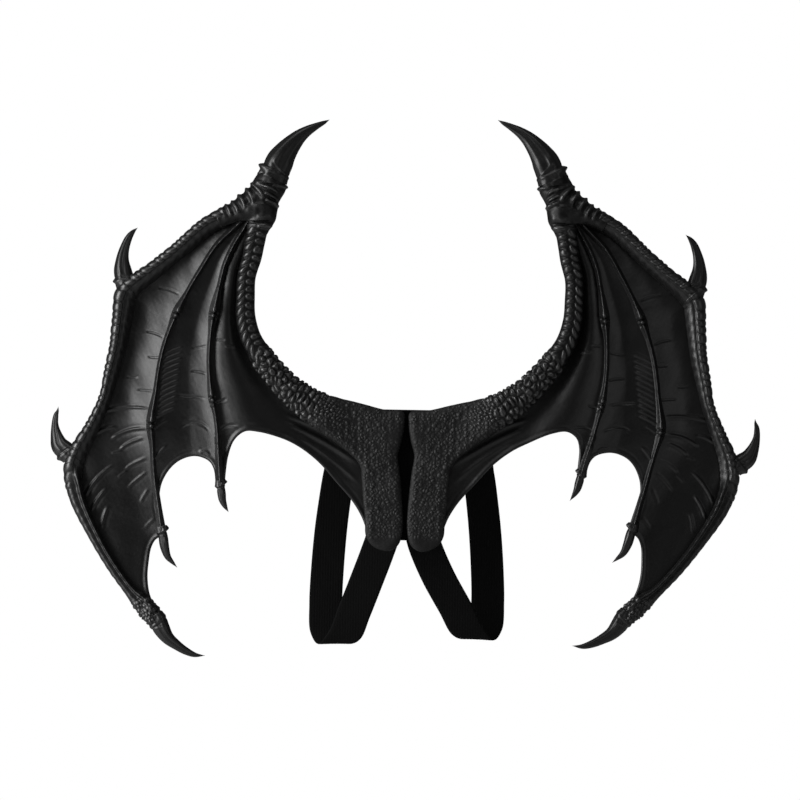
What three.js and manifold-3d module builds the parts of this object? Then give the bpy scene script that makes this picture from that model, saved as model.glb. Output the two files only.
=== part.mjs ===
// Bat wings worn on the back: two foam wings joined by a soft panel, with two elastic shoulder loops.
// Millimetres, +Z up. The wearer's back is at Y = 0, the embossed fronts of the wings face -Y,
// and the wearer's left wing is at -X. The origin is on the panel's rear face, between the shoulder blades.
import * as THREE from "three";
import { mergeVertices } from "three/addons/utils/BufferGeometryUtils.js";
import Module from "manifold-3d";

const wasm = await Module();
wasm.setup();

// Overall sizes.
const HALF_SPAN = 425; // centre line to the outermost thorn
const HEIGHT = 646; // top of the thumb claw to the tip claw
const WRAP = 45; // how far the outer edge bends round the wearer
const FLAT_ROOT = 0.28; // share of the half span that lies flat, before the wrap begins
const GAP = 0.3; // between two pieces that touch

// Thicknesses and radii, each measured where the piece is widest.
const FINGER_RADIUS = 12;
const ARM_RADIUS = 12;
const WRIST_RADIUS = 18;
const RIB_RADIUS = 3.6;
const RIB_RISE = 1; // from the membrane's front to the middle of a rib
const RIB_SUNK = 0.8; // from the membrane's front down to a rib's flat back
const THUMB_CLAW_RADIUS = 17;
const SPIKE_RADIUS = 11;
const TIP_CLAW_RADIUS = 10;
const RIB_CLAW_RADIUS = 6.5;
const MEMBRANE_WALL = 3;
const LOBE_THICKNESS = 12;
const LOBE_BEVEL = 3;
const PANEL_THICKNESS = 4;
const PANEL_HALF_WIDTH = 50;
const PANEL_HALF_FOOT = 36;
const PANEL_TOP = 82;
const PANEL_BOTTOM = 75;
const PANEL_CORNER = 8;
const STRAP_WIDTH = 40;
const STRAP_THICKNESS = 1.6;
const STRAP_REACH = 54; // how far a loop stands off behind the wing
const BONE_SEAT = 14; // middle of the arm and the fingers, forward of the wearer's back
const FINGER_SCALE_PITCH = 13;
const ARM_SCALE_PITCH = 9.75;
const SCALE_RELIEF = 0.08; // of the radius
const SCALE_GROOVE = 0.1; // of the radius, each side of the line between two rows of scales
const FOLD_PITCH = 9;
const FOLD_RELIEF = 0.07; // of the wrist's radius
const CLAW_DEPTH = 0.85; // of a claw's width
const RIB_CLAW_DEPTH = 0.9;

// The membrane lies this far behind the middle of the bones, and each panel bellies back between them.
const SEAT_BEHIND = { finger: 4.5, ribOuter: 1.5, ribInner: 0, arm: 5, root: 5.5 };
const BELLY = { outer: 10, middle: 9, inner: 4 };
const VALLEY = 9; // how much further back the outer rib lies in the lower part of a wing
const VALLEY_START = 0.1; // the shares of the height between which it sinks
const VALLEY_FULL = -0.02;
const BELLY_RUN = 20; // distance from a bone over which the belly forms

// How finely the forms are drawn, in millimetres unless named otherwise.
const COLUMN_STEP = 18;
const ROW_STEP = 40;
const SCALLOP_STEP = 11;
const BONE_EDGE_STEP = 22; // along the membrane's edges that lie inside the bones
const RIB_STEP = 19.5;
const CLAW_STEP = 1.2; // of the claw's radius
const RIB_CLAW_STEP = 1.4;
const STRAP_SECTIONS = 26;
const LINE_SAMPLES = 20; // along a line, for each row of its table

// A tip is limp below its second elbow: the left one hangs out and the right one is folded in.
const LIMP = { pivotOut: 0.937, pivotUp: 0.052, start: 0.14, full: 0, inner: 0.33, outer: 0.5, stiff: 0.5 };
const SAG = { low: 67, high: 41 }; // how far a turn of one radian also moves the low and the high parts
const WINGS = [
  { name: "left", sign: -1, swing: 0.055, rise: 1.4, drop: 1, lean: 0.002, sway: 0 },
  { name: "right", sign: 1, swing: -0.055, rise: 4.4, drop: 0.94, lean: -0.0095, sway: 0.019 },
];

// Every table gives places as shares of HALF_SPAN (out) and HEIGHT (up), and sizes as shares of its radius.
function table(columns, rows) {
  return rows.map((row) => Object.fromEntries(row.map((value, i) => [columns[i], value])));
}
const BONE = ["out", "up", "wide", "deep"];
const CLAW = ["out", "up", "wide"];
const PLACE = ["out", "up"];

// The leading finger from the wrist, over its two elbows, to the knuckle at the tip.
const FINGER = table(BONE, [
  [0.432, 0.492, 1.3, 1.5],
  [0.469, 0.49, 1.2, 1.3],
  [0.505, 0.485, 1.05, 1.1],
  [0.542, 0.474, 0.95, 0.95],
  [0.584, 0.458, 0.9, 0.9],
  [0.663, 0.412, 0.85, 0.85],
  [0.731, 0.375, 0.9, 0.9],
  [0.779, 0.351, 1.0, 1.0],
  [0.805, 0.331, 1.1, 1.0],
  [0.813, 0.294, 1.0, 1.0],
  [0.823, 0.238, 0.85, 0.9],
  [0.841, 0.182, 0.75, 0.8],
  [0.855, 0.141, 0.65, 0.75],
  [0.887, 0.089, 0.75, 0.8],
  [0.92, 0.043, 0.9, 0.9],
  [0.932, 0.004, 0.95, 0.9],
  [0.915, -0.045, 0.8, 0.8],
  [0.857, -0.115, 0.6, 0.65],
  [0.798, -0.171, 0.55, 0.6],
  [0.74, -0.215, 0.6, 0.65],
  [0.711, -0.232, 0.9, 0.8],
  [0.683, -0.249, 1.0, 0.9],
  [0.663, -0.266, 0.8, 0.8],
]);
// Rows of the finger: where the membrane's edge begins and where one length of it meets the next.
const FINGER_ROW = { membrane: 2, wrist: 3, firstElbow: 7.6, secondElbow: 14.6, tip: 22 };

// The scaled arm from the wrist down to the root pad.
const ARM = table(BONE, [
  [0.426, 0.503, 1.7, 1.6],
  [0.426, 0.479, 1.5, 1.4],
  [0.436, 0.455, 1.15, 1.15],
  [0.443, 0.431, 1.1, 1.05],
  [0.449, 0.405, 1.05, 1.0],
  [0.463, 0.368, 1.0, 1.0],
  [0.464, 0.331, 1.0, 1.0],
  [0.462, 0.294, 1.05, 1.0],
  [0.446, 0.256, 1.1, 1.0],
  [0.415, 0.223, 1.15, 1.0],
  [0.381, 0.195, 1.2, 1.0],
  [0.342, 0.167, 1.3, 0.95],
  [0.296, 0.143, 1.5, 0.9],
  [0.251, 0.125, 1.7, 0.87],
]);
const ARM_ROW = { wrist: 2, root: 13 };

// The wrist's own stub, up to the cuff that holds the thumb claw.
const THUMB = table(BONE, [
  [0.436, 0.49, 1.1, 1.0],
  [0.421, 0.517, 1.12, 0.93],
  [0.401, 0.54, 1.1, 0.93],
  [0.388, 0.557, 1.05, 0.9],
]);
// The wrist's rounded shoulder, between the thumb and the finger.
const SHOULDER = table(BONE, [
  [0.428, 0.523, 0.8, 0.8],
  [0.464, 0.503, 0.8, 0.75],
  [0.498, 0.489, 0.65, 0.65],
]);

// The two ribs; each has a knob part of the way down.
const RIB = ["out", "up", "wide"];
const RIB_OUTER = table(RIB, [
  [0.463, 0.483, 1.1],
  [0.505, 0.455, 1.1],
  [0.551, 0.424, 1.0],
  [0.599, 0.373, 0.95],
  [0.632, 0.334, 0.95],
  [0.656, 0.3, 1.7],
  [0.675, 0.269, 1.0],
  [0.692, 0.234, 0.9],
  [0.703, 0.197, 0.9],
  [0.711, 0.154, 0.95],
  [0.721, 0.097, 1.7],
  [0.711, 0.052, 1.0],
  [0.697, -0.004, 1.0],
  [0.68, -0.056, 1.1],
  [0.666, -0.1, 1.5],
]);
const RIB_INNER = table(RIB, [
  [0.455, 0.479, 1.0],
  [0.477, 0.453, 1.0],
  [0.503, 0.424, 0.95],
  [0.525, 0.39, 0.9],
  [0.539, 0.349, 0.95],
  [0.552, 0.301, 1.7],
  [0.559, 0.266, 0.95],
  [0.562, 0.219, 0.85],
  [0.559, 0.182, 0.9],
  [0.551, 0.145, 1.3],
  [0.539, 0.108, 1.0],
  [0.528, 0.067, 1.1],
  [0.517, 0.026, 1.25],
  [0.508, -0.006, 1.4],
]);

const THUMB_CLAW = table(CLAW, [
  [0.394, 0.545, 1.0],
  [0.386, 0.566, 0.99],
  [0.374, 0.585, 0.97],
  [0.36, 0.6, 0.83],
  [0.342, 0.615, 0.67],
  [0.323, 0.628, 0.51],
  [0.301, 0.639, 0.37],
  [0.274, 0.649, 0.24],
  [0.252, 0.656, 0.13],
  [0.238, 0.661, 0],
]);
const SPIKE_UPPER = table(CLAW, [
  [0.802, 0.346, 1.05],
  [0.815, 0.375, 0.98],
  [0.817, 0.396, 0.73],
  [0.812, 0.416, 0.55],
  [0.8, 0.437, 0.39],
  [0.788, 0.448, 0.22],
  [0.776, 0.455, 0],
]);
const SPIKE_LOWER = table(CLAW, [
  [0.943, 0.032, 1.05],
  [0.975, 0.047, 0.98],
  [0.988, 0.064, 0.7],
  [0.996, 0.086, 0.41],
  [0.995, 0.105, 0.28],
  [0.991, 0.113, 0.15],
  [0.989, 0.121, 0],
]);
const TIP_CLAW = table(CLAW, [
  [0.669, -0.253, 1.0],
  [0.658, -0.264, 1.08],
  [0.647, -0.277, 1.02],
  [0.627, -0.294, 0.8],
  [0.601, -0.306, 0.62],
  [0.573, -0.316, 0.46],
  [0.546, -0.322, 0.28],
  [0.518, -0.322, 0],
]);
const RIB_CLAW_OUTER = table(CLAW, [
  [0.669, -0.088, 0.9],
  [0.661, -0.108, 1.1],
  [0.655, -0.126, 1.07],
  [0.644, -0.144, 0.8],
  [0.628, -0.155, 0.4],
  [0.615, -0.163, 0],
]);
const RIB_CLAW_INNER = table(CLAW, [
  [0.511, 0.006, 0.8],
  [0.508, -0.006, 0.92],
  [0.504, -0.019, 0.98],
  [0.5, -0.031, 0.85],
  [0.492, -0.042, 0.55],
  [0.481, -0.053, 0],
]);

// The membrane's free edge, one scallop below each panel, from the tip to the root.
const SCALLOP_OUTER = table(PLACE, [
  [0.663, -0.256],
  [0.672, -0.238],
  [0.689, -0.212],
  [0.697, -0.184],
  [0.697, -0.156],
  [0.693, -0.13],
  [0.683, -0.115],
  [0.672, -0.109],
]);
const SCALLOP_MIDDLE = table(PLACE, [
  [0.65, -0.102],
  [0.661, -0.087],
  [0.675, -0.059],
  [0.68, -0.033],
  [0.675, -0.006],
  [0.655, 0.02],
  [0.63, 0.035],
  [0.596, 0.043],
  [0.57, 0.042],
  [0.545, 0.035],
  [0.531, 0.022],
  [0.522, -0.006],
]);
const SCALLOP_INNER = table(PLACE, [
  [0.496, -0.006],
  [0.497, 0.02],
  [0.495, 0.048],
  [0.483, 0.072],
  [0.455, 0.086],
  [0.415, 0.084],
  [0.359, 0.072],
  [0.302, 0.054],
  [0.246, 0.026],
  [0.195, -0.011],
  [0.152, -0.043],
  [0.124, -0.072],
  [0.107, -0.1],
]);
// Where the membrane ends inside the root pad.
const ROOT_LINE = table(PLACE, [
  [0.251, 0.126],
  [0.175, 0.085],
  [0.099, 0.03],
  [0.088, -0.041],
  [0.082, -0.105],
]);

// The root pad's outline, from the arm along the top, down the middle and back up.
const LOBE = table(PLACE, [
  [0.23, 0.149],
  [0.175, 0.144],
  [0.121, 0.136],
  [0.066, 0.127],
  [0.009, 0.122],
  [0.006, 0.097],
  [0.013, 0.067],
  [0.023, 0.042],
  [0.016, 0.008],
  [0.009, -0.038],
  [0.006, -0.097],
  [0.017, -0.124],
  [0.042, -0.136],
  [0.071, -0.134],
  [0.096, -0.124],
  [0.11, -0.108],
  [0.113, -0.078],
  [0.119, -0.041],
  [0.124, -0.004],
  [0.13, 0.022],
  [0.155, 0.041],
  [0.195, 0.061],
  [0.237, 0.08],
  [0.272, 0.1],
]);

// A shoulder loop from its upper seam on the panel, down behind the wing, round the bottom and back up in front.
// The column tilt turns the webbing's width from level, in degrees, and behind is a share of STRAP_REACH.
const STRAP = table(["out", "up", "tilt", "behind"], [
  [0.045, 0.09, 62, 0],
  [0.085, 0.093, 62, 0.04],
  [0.14, 0.088, 46, 0.38],
  [0.172, 0.064, 22, 0.64],
  [0.187, 0.016, 11, 0.82],
  [0.2, -0.043, 8, 0.94],
  [0.21, -0.1, 6, 1],
  [0.218, -0.175, 4, 1],
  [0.221, -0.238, 2, 0.96],
  [0.216, -0.292, 2, 0.86],
  [0.194, -0.312, 2, 0.7],
  [0.166, -0.297, -10, 0.56],
  [0.138, -0.251, -18, 0.46],
  [0.103, -0.191, -20, 0.33],
  [0.073, -0.137, -20, 0.15],
  [0.06, -0.11, -17, 0.04],
  [0.054, -0.085, -14, 0],
]);
const CROWN_ROW = 6; // of the loop; a loop drops further than the other only below it
const SWAY_START = 0.22; // the shares behind between which a loop goes from its lean to its sway
const SWAY_FULL = 0.6;

const foam = { color: 0x1b1b1d, roughness: 0.45, metalness: 0 };
const scales = { color: 0x19191a, roughness: 0.38, metalness: 0 };
const horn = { color: 0x161617, roughness: 0.34, metalness: 0 };
const pad = { color: 0x252527, roughness: 0.72, metalness: 0 };
const fabric = { color: 0x0b0b0c, roughness: 0.95, metalness: 0 };
const elastic = { color: 0x101012, roughness: 0.88, metalness: 0 };

function smooth(start, end, value) {
  const t = THREE.MathUtils.clamp((value - start) / (end - start), 0, 1);
  return t * t * (3 - 2 * t);
}

// Forms are drawn flat, as out (x), forward of the wearer's back (y) and up (z).
function flatPoint(row) {
  return new THREE.Vector3(row.out * HALF_SPAN, 0, row.up * HEIGHT);
}

// The place on the finished wing of a point drawn flat.
function onWing(wing, { x: out, y: forward, z: up }) {
  const low = smooth(LIMP.start, LIMP.full, up / HEIGHT);
  const far = smooth(LIMP.inner, LIMP.outer, out / HALF_SPAN);
  const turn = wing.swing * low * far;
  const pivotOut = LIMP.pivotOut * HALF_SPAN;
  const pivotUp = LIMP.pivotUp * HEIGHT;
  const turnedOut = pivotOut + (out - pivotOut) * Math.cos(turn) - (up - pivotUp) * Math.sin(turn);
  const turnedUp = pivotUp + (out - pivotOut) * Math.sin(turn) + (up - pivotUp) * Math.cos(turn);
  const high = smooth(LIMP.start, LIMP.stiff, up / HEIGHT);
  const swungOut = turnedOut + wing.swing * (SAG.low * low * far - SAG.high * high);
  const swungUp = turnedUp + wing.rise * high;
  const pastRoot = Math.max(0, swungOut / HALF_SPAN - FLAT_ROOT) / (1 - FLAT_ROOT);
  const back = WRAP * pastRoot ** 2;
  return new THREE.Vector3(wing.sign * swungOut, back - forward, swungUp);
}

// A solid from flat points and triangles, set on one wing with its faces outward.
function solidOnWing(wing, { points, faces }) {
  const placed = points.map((point) => onWing(wing, point));
  const sixVolumes = faces.reduce(
    (sum, [a, b, c]) => sum + placed[a].dot(placed[b].clone().cross(placed[c])),
    0,
  );
  const outward = sixVolumes > 0 ? faces : faces.map(([a, b, c]) => [a, c, b]);
  return new wasm.Manifold(
    new wasm.Mesh({
      numProp: 3,
      vertProperties: new Float32Array(placed.flatMap((point) => point.toArray())),
      triVerts: new Uint32Array(outward.flat()),
    }),
  );
}

// Joins rings of points into a closed skin, with a fan to a point at each end.
function skin(rings, firstEnd, lastEnd) {
  const sides = rings[0].length;
  const points = [...rings.flat(), firstEnd, lastEnd];
  const lastRing = (rings.length - 1) * sides;
  const faces = [];
  for (let k = 0; k < sides; k++) {
    const next = (k + 1) % sides;
    for (let start = 0; start < lastRing; start += sides) {
      faces.push([start + k, start + sides + k, start + next]);
      faces.push([start + next, start + sides + k, start + sides + next]);
    }
    faces.push([points.length - 2, k, next]);
    faces.push([points.length - 1, lastRing + next, lastRing + k]);
  }
  return { points, faces };
}

// The value of one column at a place along a table, where 1.5 is half way from row 1 to row 2.
function between(rows, column, place) {
  const i = Math.min(Math.floor(place), rows.length - 2);
  return THREE.MathUtils.lerp(rows[i][column], rows[i + 1][column], place - i);
}

// A round bone, rib or claw along the line of a table, from one row to another. forward() gives the
// distance of its middle from the wearer's back, and short is how much its far end is held back.
function sweep(rows, radius, options) {
  const { from = 0, to = rows.length - 1, step, sides = 8, grow = 0 } = options;
  const { forward = () => BONE_SEAT, relief = () => 0, highest = 0 } = options;
  const { deepShare = 1, floor = Infinity, short = 0 } = options;
  const line = new THREE.CatmullRomCurve3(rows.map(flatPoint), false, "centripetal");
  const last = rows.length - 1;
  const lengths = line.getLengths(last * LINE_SAMPLES);
  const lengthAt = (row) => lengths[Math.round(row * LINE_SAMPLES)];
  const run = lengthAt(to) - lengthAt(from);
  const count = Math.max(3, Math.round(run / step));
  const pointed = to === last && rows[last].wide === 0;
  const ringCount = pointed ? count : count + 1;
  const rings = [];
  const middles = [];
  for (let i = 0; i <= count; i++) {
    const share = (lengthAt(from) + (run * i) / count) / lengths[lengths.length - 1];
    const t = line.getUtoTmapping(Math.min(share, 1));
    const middle = line.getPoint(t);
    const along = line.getTangent(t);
    middle.y = forward(middle.x, middle.z);
    middle.addScaledVector(along, i === 0 ? -grow : i === count ? grow - short : 0);
    middles.push(middle);
    const wide = between(rows, "wide", t * last) * radius;
    const deep = "deep" in rows[0] ? between(rows, "deep", t * last) * radius : wide * deepShare;
    const ring = [];
    for (let k = 0; k < sides; k++) {
      const angle = (2 * Math.PI * k) / sides;
      const across = Math.cos(angle);
      const rise = 1 + (grow > 0 ? highest : relief(i, across));
      const offset = across * (wide * rise + grow);
      const height = Math.max(Math.sin(angle) * (deep * rise + grow), -floor - grow);
      ring.push(new THREE.Vector3(middle.x - along.z * offset, middle.y + height, middle.z + along.x * offset));
    }
    rings.push(ring);
  }
  return skin(rings.slice(0, ringCount), middles[0], middles[count]);
}

// Two rows of scales side by side, half a scale apart, with a groove between them.
function braided(i, across) {
  if (Math.abs(across) < SCALE_GROOVE) return -SCALE_RELIEF;
  return SCALE_RELIEF * (i % 2 === 0 ? 1 : -1) * Math.sign(across);
}

// One row of scales along the outer edge.
function edgeScales(i, across) {
  return across > SCALE_GROOVE && i % 2 === 0 ? SCALE_RELIEF : 0;
}

function wrappedFolds(i) {
  return i % 2 === 0 ? FOLD_RELIEF : -FOLD_RELIEF;
}

// The distance of a flat place from a table's line, negative on the inner side of it.
function signedDistance(line, out, up) {
  let best = Infinity;
  let side = 1;
  for (let i = 0; i + 1 < line.length; i++) {
    const [a, b] = [line[i], line[i + 1]];
    const [du, dv] = [b.x - a.x, b.z - a.z];
    const share = THREE.MathUtils.clamp(((out - a.x) * du + (up - a.z) * dv) / (du * du + dv * dv), 0, 1);
    const [offU, offV] = [out - a.x - share * du, up - a.z - share * dv];
    const distance = Math.hypot(offU, offV);
    if (distance < best) {
      best = distance;
      side = Math.sign(offV * du - offU * dv) || 1;
    }
  }
  return best * side;
}

const LINES = {
  finger: FINGER.map(flatPoint),
  ribOuter: RIB_OUTER.map(flatPoint),
  ribInner: RIB_INNER.map(flatPoint),
  arm: ARM.map(flatPoint),
  root: ROOT_LINE.map(flatPoint),
};

// How far forward the middle of the membrane lies at a flat place.
function membraneForward(out, up) {
  const distances = Object.entries(LINES).map(([name, line]) => [name, signedDistance(line, out, up)]);
  const byName = Object.fromEntries(distances);
  const low = smooth(VALLEY_START, VALLEY_FULL, up / HEIGHT);
  const seats = { ...SEAT_BEHIND, ribOuter: SEAT_BEHIND.ribOuter + VALLEY * low };
  let weights = 0;
  let behind = 0;
  for (const [name, distance] of distances) {
    const weight = 1 / (distance * distance + 1);
    weights += weight;
    behind += weight * seats[name];
  }
  const nearest = Math.min(...distances.map(([, distance]) => Math.abs(distance)));
  const panel = byName.ribOuter > 0 ? "outer" : byName.ribInner > 0 ? "middle" : "inner";
  const belly = BELLY[panel] * (1 - Math.exp(-((nearest / BELLY_RUN) ** 2)));
  return BONE_SEAT - behind / weights - belly;
}

// The middle of a rib stands just proud of the membrane's front.
function ribForward(out, up) {
  return membraneForward(out, up) + MEMBRANE_WALL / 2 + RIB_RISE;
}

// A smooth outline through the rows of a table, as flat points a step apart.
function outlinePoints(rows, step) {
  const line = new THREE.CatmullRomCurve3(rows.map(flatPoint), false, "centripetal");
  return line.getSpacedPoints(Math.max(2, Math.round(line.getLength() / step)));
}

// A flat outline made solid from one distance forward of the back to another.
function slabOf(points, from, thickness, bevel) {
  const shape = new THREE.Shape(points.map((point) => new THREE.Vector2(point.x, point.z)));
  const geometry = new THREE.ExtrudeGeometry(shape, {
    depth: thickness - 2 * bevel,
    bevelEnabled: bevel > 0,
    bevelThickness: bevel,
    bevelSize: bevel,
    bevelOffset: -bevel,
    bevelSegments: 1,
    curveSegments: 4,
  });
  geometry.deleteAttribute("uv");
  geometry.deleteAttribute("normal");
  const merged = mergeVertices(geometry, 1e-3);
  const { array } = merged.attributes.position;
  const flat = [];
  for (let i = 0; i < array.length; i += 3) {
    flat.push(new THREE.Vector3(array[i], from + bevel + array[i + 2], array[i + 1]));
  }
  const faces = [];
  for (let i = 0; i < merged.index.count; i += 3) {
    faces.push([...merged.index.array.slice(i, i + 3)]);
  }
  return { points: flat, faces };
}

// A sheet with the membrane's bellies over the whole of a rectangle.
function bellySheet(outline) {
  const box = new THREE.Box3().setFromPoints(outline).expandByScalar(COLUMN_STEP);
  const columns = Math.ceil((box.max.x - box.min.x) / COLUMN_STEP);
  const rows = Math.ceil((box.max.z - box.min.z) / ROW_STEP);
  const rings = [];
  for (let i = 0; i <= columns; i++) {
    const out = THREE.MathUtils.lerp(box.min.x, box.max.x, i / columns);
    const front = [];
    const back = [];
    for (let j = 0; j <= rows; j++) {
      const up = THREE.MathUtils.lerp(box.min.z, box.max.z, j / rows);
      const middle = membraneForward(out, up);
      front.push(new THREE.Vector3(out, middle + MEMBRANE_WALL / 2, up));
      back.push(new THREE.Vector3(out, middle - MEMBRANE_WALL / 2, up));
    }
    rings.push([...front, ...back.reverse()]);
  }
  return sheetSkin(rings);
}

// A skin over long flat rings, whose two ends are closed straight across.
function sheetSkin(rings) {
  const sides = rings[0].length;
  const points = rings.flat();
  const lastRing = (rings.length - 1) * sides;
  const faces = [];
  for (let k = 0; k < sides; k++) {
    const next = (k + 1) % sides;
    for (let start = 0; start < lastRing; start += sides) {
      faces.push([start + k, start + sides + k, start + next]);
      faces.push([start + next, start + sides + k, start + sides + next]);
    }
  }
  for (let k = 0; k + 1 < sides / 2; k++) {
    const across = sides - 1 - k;
    faces.push([k, k + 1, across], [k + 1, across - 1, across]);
    faces.push([lastRing + k, lastRing + across, lastRing + k + 1]);
    faces.push([lastRing + k + 1, lastRing + across, lastRing + across - 1]);
  }
  return { points, faces };
}

function membraneOutline() {
  return [
    ...outlinePoints(FINGER.slice(FINGER_ROW.membrane), BONE_EDGE_STEP),
    ...outlinePoints(SCALLOP_OUTER, SCALLOP_STEP),
    ...outlinePoints(SCALLOP_MIDDLE, SCALLOP_STEP),
    ...outlinePoints(SCALLOP_INNER, SCALLOP_STEP),
    ...outlinePoints([...ROOT_LINE].reverse(), BONE_EDGE_STEP),
    ...outlinePoints([...ARM].reverse(), BONE_EDGE_STEP).slice(1),
  ];
}

// The webbing's sections along a loop, each with its two edges and its two faces.
function strapLoop(wing) {
  const crown = STRAP[CROWN_ROW].up;
  const hung = STRAP.map((row) => {
    const below = Math.min(0, row.up - crown);
    const aside = THREE.MathUtils.lerp(wing.lean, wing.sway, smooth(SWAY_START, SWAY_FULL, row.behind));
    return { ...row, up: row.up + below * (wing.drop - 1), out: row.out + aside };
  });
  const middle = new THREE.CatmullRomCurve3(
    hung.map((row) => {
      const start = flatPoint(row);
      start.y = -GAP - STRAP_THICKNESS / 2 - row.behind * STRAP_REACH;
      return start;
    }),
    false,
    "centripetal",
  );
  const rings = [];
  for (let i = 0; i <= STRAP_SECTIONS; i++) {
    const t = i / STRAP_SECTIONS;
    const centre = middle.getPoint(t);
    const tilt = THREE.MathUtils.degToRad(between(hung, "tilt", t * (hung.length - 1)));
    const across = new THREE.Vector3(Math.cos(tilt), 0, -Math.sin(tilt)).multiplyScalar(STRAP_WIDTH / 2);
    const through = middle.getTangent(t).cross(across).setLength(STRAP_THICKNESS / 2);
    const corner = (side, face) => centre.clone().addScaledVector(across, side).addScaledVector(through, face);
    rings.push([corner(1, 1), corner(-1, 1), corner(-1, -1), corner(1, -1)]);
  }
  return sheetSkin(rings);
}

function panelOutline() {
  const r = PANEL_CORNER;
  const [head, foot] = [PANEL_HALF_WIDTH - r, PANEL_HALF_FOOT - r];
  const [top, bottom] = [PANEL_TOP - r, r - PANEL_BOTTOM];
  const shape = new THREE.Shape();
  shape.moveTo(foot, bottom - r);
  shape.absarc(foot, bottom, r, -Math.PI / 2, 0);
  shape.absarc(head, top, r, 0, Math.PI / 2);
  shape.absarc(-head, top, r, Math.PI / 2, Math.PI);
  shape.absarc(-foot, bottom, r, Math.PI, 1.5 * Math.PI);
  return shape.getPoints(3).map((point) => new THREE.Vector3(point.x, 0, point.y));
}

// The largest body of a solid, without the crumbs that a cut leaves.
function mainBody(solid) {
  const bodies = solid.decompose();
  return bodies.reduce((best, body) => (body.volume() > best.volume() ? body : best));
}

function minus(solid, cutters) {
  return mainBody(cutters.reduce((rest, cutter) => rest.subtract(cutter), solid));
}

function namedMesh(name, solid, finish) {
  const { vertProperties, triVerts, numProp } = solid.getMesh();
  const positions = new Float32Array((vertProperties.length / numProp) * 3);
  for (let i = 0; i < positions.length / 3; i++) {
    positions.set(vertProperties.subarray(i * numProp, i * numProp + 3), i * 3);
  }
  const geometry = new THREE.BufferGeometry();
  geometry.setAttribute("position", new THREE.BufferAttribute(positions, 3));
  geometry.setIndex(new THREE.BufferAttribute(triVerts, 1));
  geometry.computeVertexNormals();
  const mesh = new THREE.Mesh(geometry, new THREE.MeshStandardMaterial(finish));
  mesh.name = name;
  return mesh;
}

const FOLDED = { step: FOLD_PITCH, relief: wrappedFolds, highest: FOLD_RELIEF };

// Each form of a wing, drawn flat. With grow above 0 it is the hollow that holds the form.
const FORMS = {
  finger: (from, to) => (grow) =>
    sweep(FINGER, FINGER_RADIUS, {
      from,
      to,
      grow,
      step: FINGER_SCALE_PITCH,
      short: GAP,
      relief: edgeScales,
      highest: SCALE_RELIEF,
    }),
  arm: (grow) =>
    sweep(ARM, ARM_RADIUS, {
      from: ARM_ROW.wrist,
      to: ARM_ROW.root,
      grow,
      step: ARM_SCALE_PITCH,
      relief: braided,
      highest: SCALE_RELIEF,
    }),
  thumbStub: (grow) => sweep(THUMB, WRIST_RADIUS, { ...FOLDED, grow }),
  shoulderStub: (grow) => sweep(SHOULDER, WRIST_RADIUS, { ...FOLDED, grow }),
  fingerStub: (grow) => sweep(FINGER, FINGER_RADIUS, { ...FOLDED, to: FINGER_ROW.wrist, grow }),
  armStub: (grow) => sweep(ARM, ARM_RADIUS, { ...FOLDED, to: ARM_ROW.wrist, grow }),
  claw: (rows, radius) => (grow) =>
    sweep(rows, radius, { grow, step: radius * CLAW_STEP, deepShare: CLAW_DEPTH }),
  ribClaw: (rows) => (grow) =>
    sweep(rows, RIB_CLAW_RADIUS, {
      grow,
      step: RIB_CLAW_RADIUS * RIB_CLAW_STEP,
      sides: 6,
      forward: ribForward,
      deepShare: RIB_CLAW_DEPTH,
    }),
  rib: (rows) => (grow) =>
    sweep(rows, RIB_RADIUS, {
      grow,
      step: RIB_STEP,
      sides: 6,
      forward: ribForward,
      floor: RIB_RISE + RIB_SUNK,
    }),
  lobe: (grow) => slabOf(LOBE.map(flatPoint), PANEL_THICKNESS + GAP - grow, LOBE_THICKNESS + 2 * grow, LOBE_BEVEL),
};

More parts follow.
